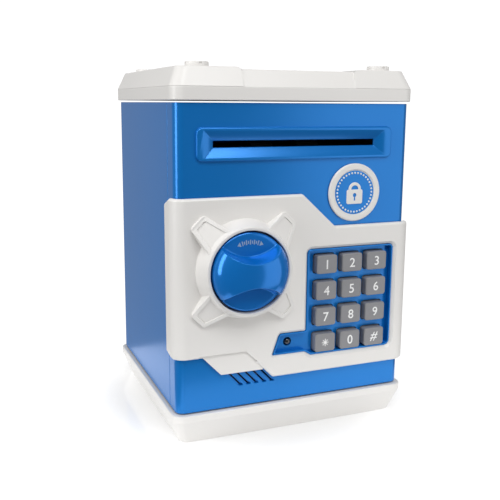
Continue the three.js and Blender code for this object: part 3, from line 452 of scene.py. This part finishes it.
def tapered(name, half_x, half_y, profile, corner, corner_drop):
    """Rounded box whose side follows a profile of (inset, z); the corners tighten as it narrows."""
    rings = []
    for inset, z in profile:
        radius = corner - corner_drop * inset
        rings.append(level(rectangle(half_x - inset, half_y - inset, radius, steps=10), z))
    return loft(name, rings)


def lid_strip(side, ramp, profile):
    """The raised strip along one side of the lid; its inner edge ramps down to the middle."""
    strip = tapered("strip", LID_X, LID_Y, profile, LID_CORNER, LID_TIGHTEN)
    inner, outer = side * 30.0, side * 80.0
    lip = inner + side * ramp
    above, below = LID_TOP + 1, LID_BAND - 0.1
    section = [(inner, below), (outer, below), (outer, above), (lip, above), (lip, LID_TOP)]
    section.append((inner, LID_TOP - LID_STEP))
    return combine(strip, "INTERSECT", [plate("keep", section[::side], facing, -80, 80)])


def top_lid():
    slope, shoulder = 3.9, 12
    middle = LID_TOP - LID_STEP
    foot = [(9, LID_LOW, 0), (0, LID_LOW, 0.5)]
    high = foot + [(0, LID_BAND, 1.2), (slope, LID_TOP, 0.8), (shoulder, LID_TOP, 0)]
    low = foot + [(0, LID_BAND - 0.4, 1.8), (slope + 0.1, middle, 0.8), (shoulder, middle, 0)]
    lid = tapered("top_lid", LID_X, LID_Y, rounded(low, 5, closed=False), LID_CORNER, LID_TIGHTEN)
    for side, ramp in ((-1, 1.2), (1, 6.0)):
        join(lid, lid_strip(side, ramp, rounded(high, 5, closed=False)))
    cut(lid, tapered("cavity", 58.9, 53.4, [(0, LID_LOW - 1), (0, LID_BAND), (2.5, middle - 2)], 3, 0.2))
    join(lid, plate("rim", rectangle(19, 4.6, 3, steps=8), level, middle - 0.5, middle + 0.6, 0, 0.4))
    cut(lid, plate("coin", rectangle(16, 1.7, 1.5, steps=6), level, LID_TOP - 6, LID_TOP + 1))
    ease(lid, 0.16)
    return dress(lid, WHITE, "bank_body", ["top_lid"])


def lid_bolts():
    """The cross-slotted bolt heads on the lid's corners."""
    across, along = 49.5, 48.0
    radius, base, top = 5.7, 184.5, 187.0
    half, slot_floor = 0.75, top - 1.2
    for number, (sx, sy) in enumerate(((-1, -1), (1, -1), (-1, 1), (1, 1)), 1):
        x, y = sx * across, sy * along
        bolt = plate(f"lid_bolt_{number}", circle(radius, x, y, 64), level, base, top, 0, 0.5)
        cut(
            bolt,
            block(x - radius - 1, x + radius + 1, y - half, y + half, slot_floor, top + 1),
            block(x - half, x + half, y - radius - 1, y + radius + 1, slot_floor, top + 1),
        )
        ease(bolt, 0.15)
        dress(bolt, WHITE, "bank_body")


def base_tray():
    top, lip, flare = 16, 12.5, 4.8
    profile = [(14, 0, 0), (flare, 0, 0.9), (0, lip, 1.5), (0, top, 0.6), (9, top, 0)]
    tray = tapered("base_tray", 65.6, 60.2, rounded(profile, 5, closed=False), 6, 0.4)
    cut(tray, tapered("cavity", 60.2, 54.7, [(2.3, 2.4), (0, 11), (0, top + 1)], 3, 0.0))
    for sx in (-1, 1):
        for sy in (-1, 1):
            x, y = sx * POST_X, sy * POST_Y
            join(tray, rod(5.2, level, 0.5, top, x, y))
            cut(tray, rod(1.7, level, -1, top + 1, x, y), rod(3.6, level, -1, 5, x, y))
    bay_x, bay_y, bay_middle = 27.2, 22.2, 28.3
    ear_x, screw_x = 36.3, 32
    join(tray, block(bay_x - 0.5, ear_x + 2.7, bay_middle - 8, bay_middle + 8, 1, 8))
    cut(tray, block(-bay_x, bay_x, bay_middle - bay_y, bay_middle + bay_y, -1, 9))
    ear = block(bay_x - 1, ear_x, bay_middle - 5.3, bay_middle + 5.3, -1, 2.5)
    cut(tray, ear, rod(1.3, level, 1, 7, screw_x, bay_middle, 20))
    ease(tray, 0.25)
    return dress(tray, WHITE, "bank_body", ["base_tray"])


# ------------------------------------------------------------------ door
DOOR_FLAT = 58.9  # the door is flat to here and then wraps round a corner of this radius
DOOR_BEND = 7.0
DOOR_SIDE = 1.9
DOOR_SKIN = 2.4

KEYPAD_OPENING = [
    (-13.8, 41.7, 0.5),
    (4.5, 41.6, 1.2),
    (8, 39.4, 1.2),
    (55.5, 39.4, 3.2),
    (55.5, 95.4, 2.4),
    (4.9, 95.4, 2.4),
    (4.9, 52.8, 0.6),
    (-9.4, 52.8, 1.0),
    (-10.4, 51.5, 0.8),
]


def wrap(piece):
    """Bends a piece made flat round the body's two front corners."""
    quarter_turn = DOOR_BEND * math.pi / 2
    build = bmesh.new()
    build.from_mesh(piece.data)
    slices = 14
    for side in (-1, 1):
        for k in range(slices + 1):
            x = side * (DOOR_FLAT + quarter_turn * k / slices) * MM
            everything = build.verts[:] + build.edges[:] + build.faces[:]
            bmesh.ops.bisect_plane(build, geom=everything, dist=1e-7, plane_co=(x, 0, 0), plane_no=(1, 0, 0))
    for vertex in build.verts:
        x, y, z = vertex.co / MM
        along = abs(x) - DOOR_FLAT
        if along <= 1e-6:
            continue
        depth = min(y - DOOR_FACE, DOOR_SIDE)
        reach = DOOR_BEND - depth
        if along <= quarter_turn:
            angle = along / DOOR_BEND
            new_x = DOOR_FLAT + reach * math.sin(angle)
            new_y = DOOR_FACE + DOOR_BEND - reach * math.cos(angle)
        else:
            new_x = DOOR_FLAT + reach
            new_y = DOOR_FACE + DOOR_BEND + along - quarter_turn
        vertex.co = Vector((math.copysign(new_x, x), new_y, z)) * MM
    build.to_mesh(piece.data)
    build.free()
    return piece


def door_plate():
    """The door's outline as a flat plate, wrapped round the body's front corners."""
    corners = [
        (-76.5, 46.8, 1.6),
        (-67.0, 45.0, 1.6),
        (-28, 45.0, 2),
        (-13.5, 30.5, 2),
        (72.6, 30.5, 1.8),
        (72.6, 103.6, 1.8),
        (67.0, 106.6, 1.8),
        (20.1, 106.6, 2),
        (1.6, 123.6, 2),
        (-70.0, 123.6, 1.6),
        (-77.7, 120.4, 1.8),
    ]
    back = DOOR_FACE + DOOR_SKIN
    return wrap(plate("door_panel", rounded(corners), facing, DOOR_FACE, back, round_start=1.4, steps=5))


def add_tab(door):
    """The tab below the knob; the door's face is cut back above it."""
    top, low = 46.2, 35
    outline = rounded([(-52.0, top, 0.5), (-41.2, low, 1), (-16.8, low, 1), (-28, top, 0.5)])
    back = DOOR_FACE + DOOR_SKIN - 0.05
    tab = plate("tab", outline, facing, DOOR_FACE + 1.2, back, round_start=0.4)
    recess = [(-53.0, top), (-53.0, 40), (-22, 40), (-28.6, top)]
    cut(door, plate("recess", recess, facing, DOOR_FACE - 1, DOOR_FACE + 1.25))
    join(door, tab)


def open_keypad(door):
    """A sleeve behind the door's face, then a chamfered hole through both."""
    join(door, plate("sleeve", rounded(grown(KEYPAD_OPENING, 1.1)), facing, DOOR_FACE + 1.5, -57.1))
    chamfer = 1.5
    steps = ((chamfer + 0.5, DOOR_FACE - 0.5), (chamfer, DOOR_FACE), (0, DOOR_FACE + chamfer), (0, -50))
    cut(door, loft("hole", [facing(rounded(grown(KEYPAD_OPENING, wider)), y) for wider, y in steps]))


def spoke(name, half, root, reach, corner, far_y, sink):
    """A tapering arm along +X that rises towards the knob's collar; sink lowers its front."""
    start, ramp_end, ramp, tip_rise = 18.0, 33.0, 0.5, 1.7
    lengths = [(start, root)] + [(reach - back, half - inward) for back, inward in quarter(corner, 5)]
    rings = []
    for along, wide in lengths:
        top = DOOR_FACE - tip_rise - max(0.0, ramp_end - along) * ramp + sink
        rings.append([(along, far_y, -wide), (along, far_y, wide), (along, top, wide), (along, top, -wide)])
    return loft(name, rings)


def add_spokes(door):
    """Four arms round the knob's collar, each with a shallow pocket in its front."""
    centre = Matrix.Translation(Vector((KNOB_X, 0, KNOB_Z)) * MM)
    for i in range(4):
        arm = spoke("arm", 5.0, 8.2, 34.3, 2.2, DOOR_FACE + 1, 0)
        arm = ease(cut(arm, spoke("pocket", 3.3, 6.3, 32.2, 1.2, -80, 0.7)), 0.3)
        arm.data.transform(centre @ Matrix.Rotation(math.radians(45 + 90 * i), 4, "Y"))
        join(door, arm)


def add_collar(door):
    """The knob's collar, with the bore that the knob turns in and the hole for its shaft."""
    rim, foot, sides = -70.0, 24.8, 128
    behind = DOOR_FACE + 1.2
    side = [(0, rim, 0), (21.95, rim, 0.9), (foot, DOOR_FACE, 0), (foot, behind, 0), (0, behind, 0)]
    join(door, turned("collar", rounded(side, 5, closed=False), KNOB_X, KNOB_Z, sides))
    bore, bore_floor, shaft_hole = 20.2, -60.2, 3.9
    well = [(0, rim - 2), (bore + 2.35, rim - 2), (bore + 0.35, rim), (bore + 0.1, rim + 0.15)]
    well += [(bore, rim + 0.5), (bore, bore_floor), (shaft_hole, bore_floor), (shaft_hole, -50), (0, -50)]
    cut(door, turned("well", well, KNOB_X, KNOB_Z, sides))


def add_hinge_barrel(door):
    """The barrel for the hinge pin, tied to the door by two webs."""
    low, high = 36.2, 100.8
    barrel = rod(1.9, level, low, high, HINGE_X, HINGE_Y)
    webs = [
        block(HINGE_X - 1.5, HINGE_X + 1.9, HINGE_Y - 5, HINGE_Y - 0.5, low, high),
        block(HINGE_X - 1.5, 65.5, HINGE_Y - 5, HINGE_Y - 3.1, low, high),
    ]
    join(door, barrel, *webs)
    cut(door, rod(1.2, level, 35, 102, HINGE_X, HINGE_Y, 24))


def door_panel():
    door = door_plate()
    add_tab(door)
    open_keypad(door)
    add_spokes(door)
    add_collar(door)
    add_hinge_barrel(door)
    return dress(door, WHITE, "door", ["door_panel"])


def keypad_liner():
    """The blue wall that lines the keypad opening."""
    front, back = DOOR_FACE + 1.1, -56.8
    outer, inner, crown = -0.15, -1.0, front - 0.15
    section = [(outer, back), (outer, front), (outer - 0.2, crown), (inner + 0.2, crown)]
    section += [(inner, front), (inner, back)]
    rings = [facing(rounded(grown(KEYPAD_OPENING, inset)), y) for inset, y in section]
    liner = loft("keypad_liner", rings, hollow=True)
    return dress(liner, BLUE, "door")


# ------------------------------------------------------------------ keys and their legends
KEY_GRID = {
    "key_1": "1", "key_2": "2", "key_3": "3", "key_4": "4", "key_5": "5", "key_6": "6",
    "key_7": "7", "key_8": "8", "key_9": "9", "key_star": "*", "key_0": "0", "key_hash": "#",
}


def star(name, text, x, z, face):
    """The eight-armed star of the star key."""
    arm, half, root = 2.0, 0.2, 0.5
    outline = []
    for k in range(8):
        angle = math.pi * k / 4
        for along, across in ((arm, -half), (arm, half)):
            turned_x = along * math.cos(angle) - across * math.sin(angle)
            outline.append((x + turned_x, z + along * math.sin(angle) + across * math.cos(angle)))
        between = angle + math.pi / 8
        outline.append((x + root * math.cos(between), z + root * math.sin(between)))
    return plate(name, outline, facing, face - 0.06, face + 0.05)


def legend(name, text, x, z, face):
    """A raised print of one character, centred at x, z on a face at y."""
    height = 4.8
    slant = 0.25 if text == "#" else 0.0
    curve = bpy.data.curves.new(name, "FONT")
    curve.body = text
    curve.size = 1.0
    curve.resolution_u = 6
    curve.offset = 0.008
    maker = bpy.data.objects.new(name + "_maker", curve)
    bpy.context.scene.collection.objects.link(maker)
    bpy.context.view_layer.update()
    mesh = bpy.data.meshes.new_from_object(maker.evaluated_get(bpy.context.evaluated_depsgraph_get()))
    bpy.data.objects.remove(maker)
    build = bmesh.new()
    build.from_mesh(mesh)
    bmesh.ops.remove_doubles(build, verts=build.verts, dist=1e-5)
    low = [min(v.co[i] for v in build.verts) for i in (0, 1)]
    high = [max(v.co[i] for v in build.verts) for i in (0, 1)]
    scale = height / (high[1] - low[1])
    middle = [(a + b) / 2 for a, b in zip(low, high)]
    raised = bmesh.ops.extrude_face_region(build, geom=build.faces[:])["geom"]
    tops = {v for v in raised if isinstance(v, bmesh.types.BMVert)}
    for vertex in build.verts:
        b = z + (vertex.co.y - middle[1]) * scale
        a = x + (vertex.co.x - middle[0]) * scale + (b - z) * slant
        vertex.co = Vector((a, face - 0.06 if vertex in tops else face + 0.05, b)) * MM
    return add_object(name, build)


def keys():
    for name, text in KEY_GRID.items():
        low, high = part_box(name)
        x, z = (low.x + high.x) / 2 / MM, (low.z + high.z) / 2 / MM
        face = low.y / MM
        outline = rectangle(5.85, 4.8, 1.4, x, z, steps=8)
        rings = [facing(offset(outline, -inset), face + depth) for inset, depth in quarter(0.6, 5)]
        flange = rectangle(6.9, 5.9, 1.5, x, z, steps=8)
        rings += [facing(outline, -55.0), facing(flange, -54.98), facing(flange, -54.0)]
        dress(loft(f"{name}_cap", rings), KEY_GREY, name, [name], crease=50)
        mark = star if text == "*" else legend
        dress(mark(f"{name}_legend", text, x, z, face), INK, name)


# ------------------------------------------------------------------ knob
KNOB_RADIUS = 19.3
SCOOP, SCOOP_AWAY = 22.0, 27.8  # each finger pocket's radius, and how far from the knob's axis it is centred


def knob_height(x, z):
    """Front face of the knob at x, z from its centre: a domed grip between two scooped finger pockets."""
    crest, rim = -79.5, -69.5
    r = min(math.hypot(x, z) / KNOB_RADIUS, 1.0)
    dome = crest + (rim - crest) * (1 - math.sqrt(max(0.0, 1 - r**2.7)))
    pocket_floor, floor_round = -68.9, 2.0
    over = max(0.0, r * KNOB_RADIUS - (KNOB_RADIUS - floor_round)) / floor_round
    floor = pocket_floor + 0.9 * (1 - math.sqrt(max(0.0, 1 - over**2))) - 0.35 * r**2

    wall = 1.4
    inside = SCOOP - math.hypot(x, abs(z) - SCOOP_AWAY)

    def soft_start(value, blend):
        if value <= -blend:
            return 0.0
        if value >= blend:
            return value
        return (value + blend) ** 2 / (4 * blend)

    fall = (soft_start(inside, 0.3) - soft_start(inside - wall, 0.6)) / wall
    return dome + (floor - dome) * fall


def knob():
    radius, base, hub = KNOB_RADIUS, -60.5, 3.5
    columns = 120
    build = bmesh.new()
    grid = []
    for i in range(columns + 1):
        x = radius * math.sin(math.pi * (i / columns - 0.5))
        edge = math.sqrt(max(0.0, radius**2 - x**2))
        crest = SCOOP_AWAY - math.sqrt(SCOOP**2 - x**2)
        stops = [0.0] + [min(edge, crest + d) for d in (-0.45, 0.35, 1.0, 2.2)] + [edge]
        heights = [0.0]
        for k, rows in enumerate((14, 6, 5, 7, 18)):
            for row in range(1, rows + 1):
                t = row / rows
                if k in (0, 4):
                    t = math.sin(t * math.pi / 2)
                heights.append(stops[k] + (stops[k + 1] - stops[k]) * t)
        line = [-h for h in reversed(heights[1:])] + heights
        grid.append(
            [build.verts.new(Vector((KNOB_X + x, knob_height(x, z), KNOB_Z + z)) * MM) for z in line]
        )
    rows = len(grid[0])
    for left, right in zip(grid, grid[1:]):
        for j in range(rows - 1):
            build.faces.new((left[j], right[j], right[j + 1], left[j + 1]))
    loop = [column[0] for column in grid] + [column[-1] for column in reversed(grid)]
    around = [vertex.co.copy() for vertex in loop]
    centre = Vector((KNOB_X, 0, KNOB_Z)) * MM
    previous = loop
    for size, y in ((radius, -66.5), (radius, base - 0.4), (radius - 0.4, base), (hub, base), (hub, -53.5)):
        ring = []
        for spot in around:
            way = Vector((spot.x - centre.x, 0, spot.z - centre.z)).normalized()
            ring.append(build.verts.new(centre + way * size * MM + Vector((0, y * MM, 0))))
        for i in range(len(ring)):
            j = (i + 1) % len(ring)
            build.faces.new((previous[j], previous[i], ring[i], ring[j]))
        previous = ring
    build.faces.new(previous)
    bmesh.ops.remove_doubles(build, verts=build.verts, dist=0.002 * MM)
    bmesh.ops.dissolve_degenerate(build, dist=0.002 * MM, edges=build.edges)
    made = add_object("knob_grip", build)
    return dress(made, KNOB_BLUE, "knob", ["knob"], crease=60)


def knob_scale():
    """The printed turn mark in the upper pocket: an arrow head at each end of a row of ticks."""
    build = bmesh.new()
    middle = 14.6

    def stamp(spots):
        front = []
        for x, z in spots:
            spot = Vector((KNOB_X + x, knob_height(x, z) - 0.05, KNOB_Z + z))
            front.append(build.verts.new(spot * MM))
        back = [build.verts.new(v.co + Vector((0, 0.15 * MM, 0))) for v in front]
        build.faces.new(front)
        build.faces.new(list(reversed(back)))
        for i in range(len(front)):
            j = (i + 1) % len(front)
            build.faces.new((front[j], front[i], back[i], back[j]))

    def polar(radius, degrees):
        angle = math.radians(90 - degrees)
        return radius * math.cos(angle), radius * math.sin(angle)

    for tick in range(-4, 5):
        at, half = tick * 4.0, 1.0
        tall = 1.15 if tick % 2 == 0 else 0.7
        inner, outer = middle - tall, middle + tall
        foot = [polar(inner, at - half), polar(inner, at + half)]
        stamp(foot + [polar(outer, at + half), polar(outer, at - half)])
    for side in (-1, 1):
        neck, tip = side * 20, side * 27
        stamp([polar(middle - 1.2, neck), polar(middle + 1.2, neck), polar(middle, tip)][::side])
    return dress(add_object("knob_scale", build), PALE_INK, "knob")


# ------------------------------------------------------------------ lamp and badge
def status_lamp():
    low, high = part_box("status_led")
    x, z = (low.x + high.x) / 2 / MM, (low.z + high.z) / 2 / MM
    tip, back = low.y / MM, high.y / MM
    radius = (high.x - low.x) / 2 / MM
    dome = [(radius * math.sin(t), tip + 1.8 * (1 - math.cos(t))) for t in np.linspace(0, math.pi / 2, 9)]
    lamp = turned("status_lamp", [(0, tip)] + dome[1:] + [(radius, back), (0, back)], x, z, 48)
    return dress(lamp, LENS, "door", ["status_led"], crease=50)


def badge():
    low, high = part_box("badge")
    x, z = (low.x + high.x) / 2 / MM, (low.z + high.z) / 2 / MM
    face, back = low.y / MM, high.y / MM
    radius = (high.x - low.x) / 2 / MM
    rim = [(0, face + 0.5), (11.6, face + 0.5), (11.9, face), (14.3, face)]
    rim += [(radius, face + 0.4), (radius, back), (0, back)]
    disc = turned("badge_disc", rim, x, z, 96)
    dress(disc, WHITE, "bank_body", ["badge"])
    field_radius, front, behind = 11.2, face + 0.35, face + 0.6
    profile = [(0, front), (field_radius, front), (field_radius, behind), (0, behind)]
    field = turned("badge_field", profile, x, z, 96)
    dress(field, BLUE, "bank_body")
    count, ring = 36, 10.0
    pearl = [(0, face), (0.35, face + 0.05), (0.55, face + 0.4), (0, face + 0.4)]
    beads = None
    for k in range(count):
        angle = 2 * math.pi * k / count
        bead = turned("bead", pearl, x + ring * math.cos(angle), z + ring * math.sin(angle), 12)
        beads = bead if beads is None else join_plain(beads, bead)
    beads.name = "badge_beads"
    dress(beads, WHITE, "bank_body")
    near, far = face - 1, face + 1
    bow_z, bow, bow_inside = z + 1.6, 3.6, 2.1
    body = plate("badge_lock", rectangle(4.6, 3.7, 1.0, x, z - 2.2), facing, face, face + 0.4, 0.25)
    shackle = plate("shackle", circle(bow, x, bow_z, 48), facing, face, face + 0.4, 0.25)
    opening = rod(bow_inside, facing, near, far, x, bow_z)
    cut(shackle, opening, block(x - bow_inside, x + bow_inside, near, far, z - 4, bow_z))
    join(body, shackle)
    hole_z, slit = z - 1.4, 0.45
    keyhole = rod(1.1, facing, near, far, x, hole_z)
    cut(body, keyhole, block(x - slit, x + slit, near, far, z - 4.2, hole_z))
    dress(body, WHITE, "bank_body")


def join_plain(piece, other):
    """Adds another object's mesh to the piece's, for solids that don't touch."""
    build = bmesh.new()
    build.from_mesh(piece.data)
    build.from_mesh(other.data)
    build.to_mesh(piece.data)
    build.free()
    bpy.data.objects.remove(other)
    return piece


# ------------------------------------------------------------------ camera, floor and light
# The floor's full glow; near the bank it falls to half, which is a painted contact shade.
FLOOR_GLOW = 0.82
WORLD_DIM, WORLD_BRIGHT = 0.18, 0.36


def add_camera():
    """The viewpoint: to the left of the bank's front and at the height of its lid, looking slightly down."""
    data = bpy.data.cameras.new("camera")
    data.sensor_width = 36.0
    data.lens = 51.92
    data.shift_x = 0.01464
    data.shift_y = -0.03896
    camera = bpy.data.objects.new("camera", data)
    to_the_right, upwards, roll = math.radians(21.826), math.radians(-9.973), math.radians(0.386)
    turn = Matrix.Rotation(-to_the_right, 4, "Z") @ Matrix.Rotation(math.pi / 2 + upwards, 4, "X")
    stand = Matrix.Translation(Vector((-157.97, -378.56, 167.53)) * MM)
    camera.matrix_world = stand @ turn @ Matrix.Rotation(roll, 4, "Z")
    bpy.context.scene.collection.objects.link(camera)
    bpy.context.scene.camera = camera


def add_floor():
    """A small patch of polished white table, so little of it is mirrored; it glows to read evenly white, and
    its glow falls to half beside the bank as a painted contact shade.
    """
    left, right, front, back = -0.105, 0.125, -0.135, 0.095
    # Distances from the bank's centre over which the painted contact shade fades into the full glow.
    near, far = 0.06, 0.105
    build = bmesh.new()
    corners = ((left, front), (right, front), (right, back), (left, back))
    build.faces.new([build.verts.new((x, y, -0.0002)) for x, y in corners])
    floor = add_object("floor", build)
    material = plastic("floor_white_painted_contact_shade", linear(175, 175, 175), 0.15, grain=0.0, shade=0.0)
    nodes, links = material.node_tree.nodes, material.node_tree.links
    surface = nodes["Principled BSDF"]
    surface.inputs["IOR"].default_value = 2.0
    surface.inputs["Emission Color"].default_value = (1, 1, 1, 1)
    away = nodes.new("ShaderNodeVectorMath")
    away.operation = "LENGTH"
    links.new(nodes["Texture Coordinate"].outputs["Object"], away.inputs[0])
    glow = nodes.new("ShaderNodeMapRange")
    glow.interpolation_type = "SMOOTHSTEP"
    glow.inputs["From Min"].default_value = near
    glow.inputs["From Max"].default_value = far
    # Half glow next to the bank: a painted contact shade.
    glow.inputs["To Min"].default_value = FLOOR_GLOW * 0.5
    glow.inputs["To Max"].default_value = FLOOR_GLOW
    links.new(away.outputs["Value"], glow.inputs["Value"])
    links.new(glow.outputs["Result"], surface.inputs["Emission Strength"])
    floor.data.materials.append(material)


def add_softbox(name, azimuth, elevation, distance, width, height, power):
    """A card of light aimed at the bank; azimuth counts from the front (-Y) towards the right (+X)."""
    data = bpy.data.lights.new(name, "AREA")
    data.shape = "RECTANGLE"
    data.size, data.size_y = width, height
    data.energy = power
    lamp = bpy.data.objects.new(name, data)
    turn, rise = math.radians(azimuth), math.radians(elevation)
    aim = Vector((math.sin(turn) * math.cos(rise), -math.cos(turn) * math.cos(rise), math.sin(rise)))
    target = Vector((0, 0, 0.09))
    facing_target = aim.to_track_quat("Z", "Y").to_matrix().to_4x4()
    lamp.matrix_world = Matrix.Translation(target + aim * distance) @ facing_target
    lamp.visible_camera = False
    bpy.context.scene.collection.objects.link(lamp)


def add_world():
    """White for the camera; for the bank, bright behind and overhead and dim in front."""
    world = bpy.data.worlds.new("studio")
    bpy.context.scene.world = world
    world.use_nodes = True
    nodes, links = world.node_tree.nodes, world.node_tree.links
    place = nodes.new("ShaderNodeTexCoord").outputs["Generated"]
    around = nodes.new("ShaderNodeVectorMath")
    around.operation = "DOT_PRODUCT"
    around.inputs[1].default_value = (-0.25, 0.9, 0.45)
    links.new(place, around.inputs[0])
    glow = nodes.new("ShaderNodeMapRange")
    glow.interpolation_type = "SMOOTHSTEP"
    glow.inputs["From Min"].default_value = -0.9
    glow.inputs["From Max"].default_value = 0.7
    glow.inputs["To Min"].default_value = WORLD_DIM
    glow.inputs["To Max"].default_value = WORLD_BRIGHT
    links.new(around.outputs["Value"], glow.inputs["Value"])
    seen = nodes.new("ShaderNodeMix")
    links.new(nodes.new("ShaderNodeLightPath").outputs["Is Camera Ray"], seen.inputs["Factor"])
    links.new(glow.outputs["Result"], seen.inputs["A"])
    seen.inputs["B"].default_value = 1.1
    back = nodes["Background"]
    back.inputs["Color"].default_value = (1, 1, 1, 1)
    links.new(seen.outputs["Result"], back.inputs["Strength"])


def add_studio():
    bpy.context.scene.view_settings.view_transform = "Standard"
    add_world()
    add_softbox("left_softbox", -78, 20, 0.9, 0.35, 0.9, 4.4)
    add_softbox("front_softbox", 0, 48, 1.0, 0.7, 0.5, 5.2)
    add_softbox("right_softbox", 43, -2, 0.9, 0.62, 0.8, 1.8)


# ------------------------------------------------------------------ carried-over pieces
SLOT_MATERIALS = {
    "white_plastic": WHITE,
    "blue_plastic": BLUE,
    "knob_plastic": KNOB_BLUE,
    "key_plastic": KEY_GREY,
    "black_plastic": BLACK,
    "steel": STEEL,
    "brass": BRASS,
    "rubber": RUBBER,
    "board": BOARD,
    "lens": LENS,
    "cell_wrap": CELL,
}


def paint_frame():
    """Gives every CAD piece that still shows the material of its slot."""
    for part in frame["record"]["subparts"]:
        node = frame["nodes"][part["node"]]
        node.data.materials.clear()
        node.data.materials.append(SLOT_MATERIALS[part["material_slot"]])


add_camera()
add_floor()
add_studio()
paint_frame()
front_shell()
rear_shell()
top_lid()
lid_bolts()
base_tray()
door_panel()
keypad_liner()
keys()
knob()
knob_scale()
status_lamp()
badge()
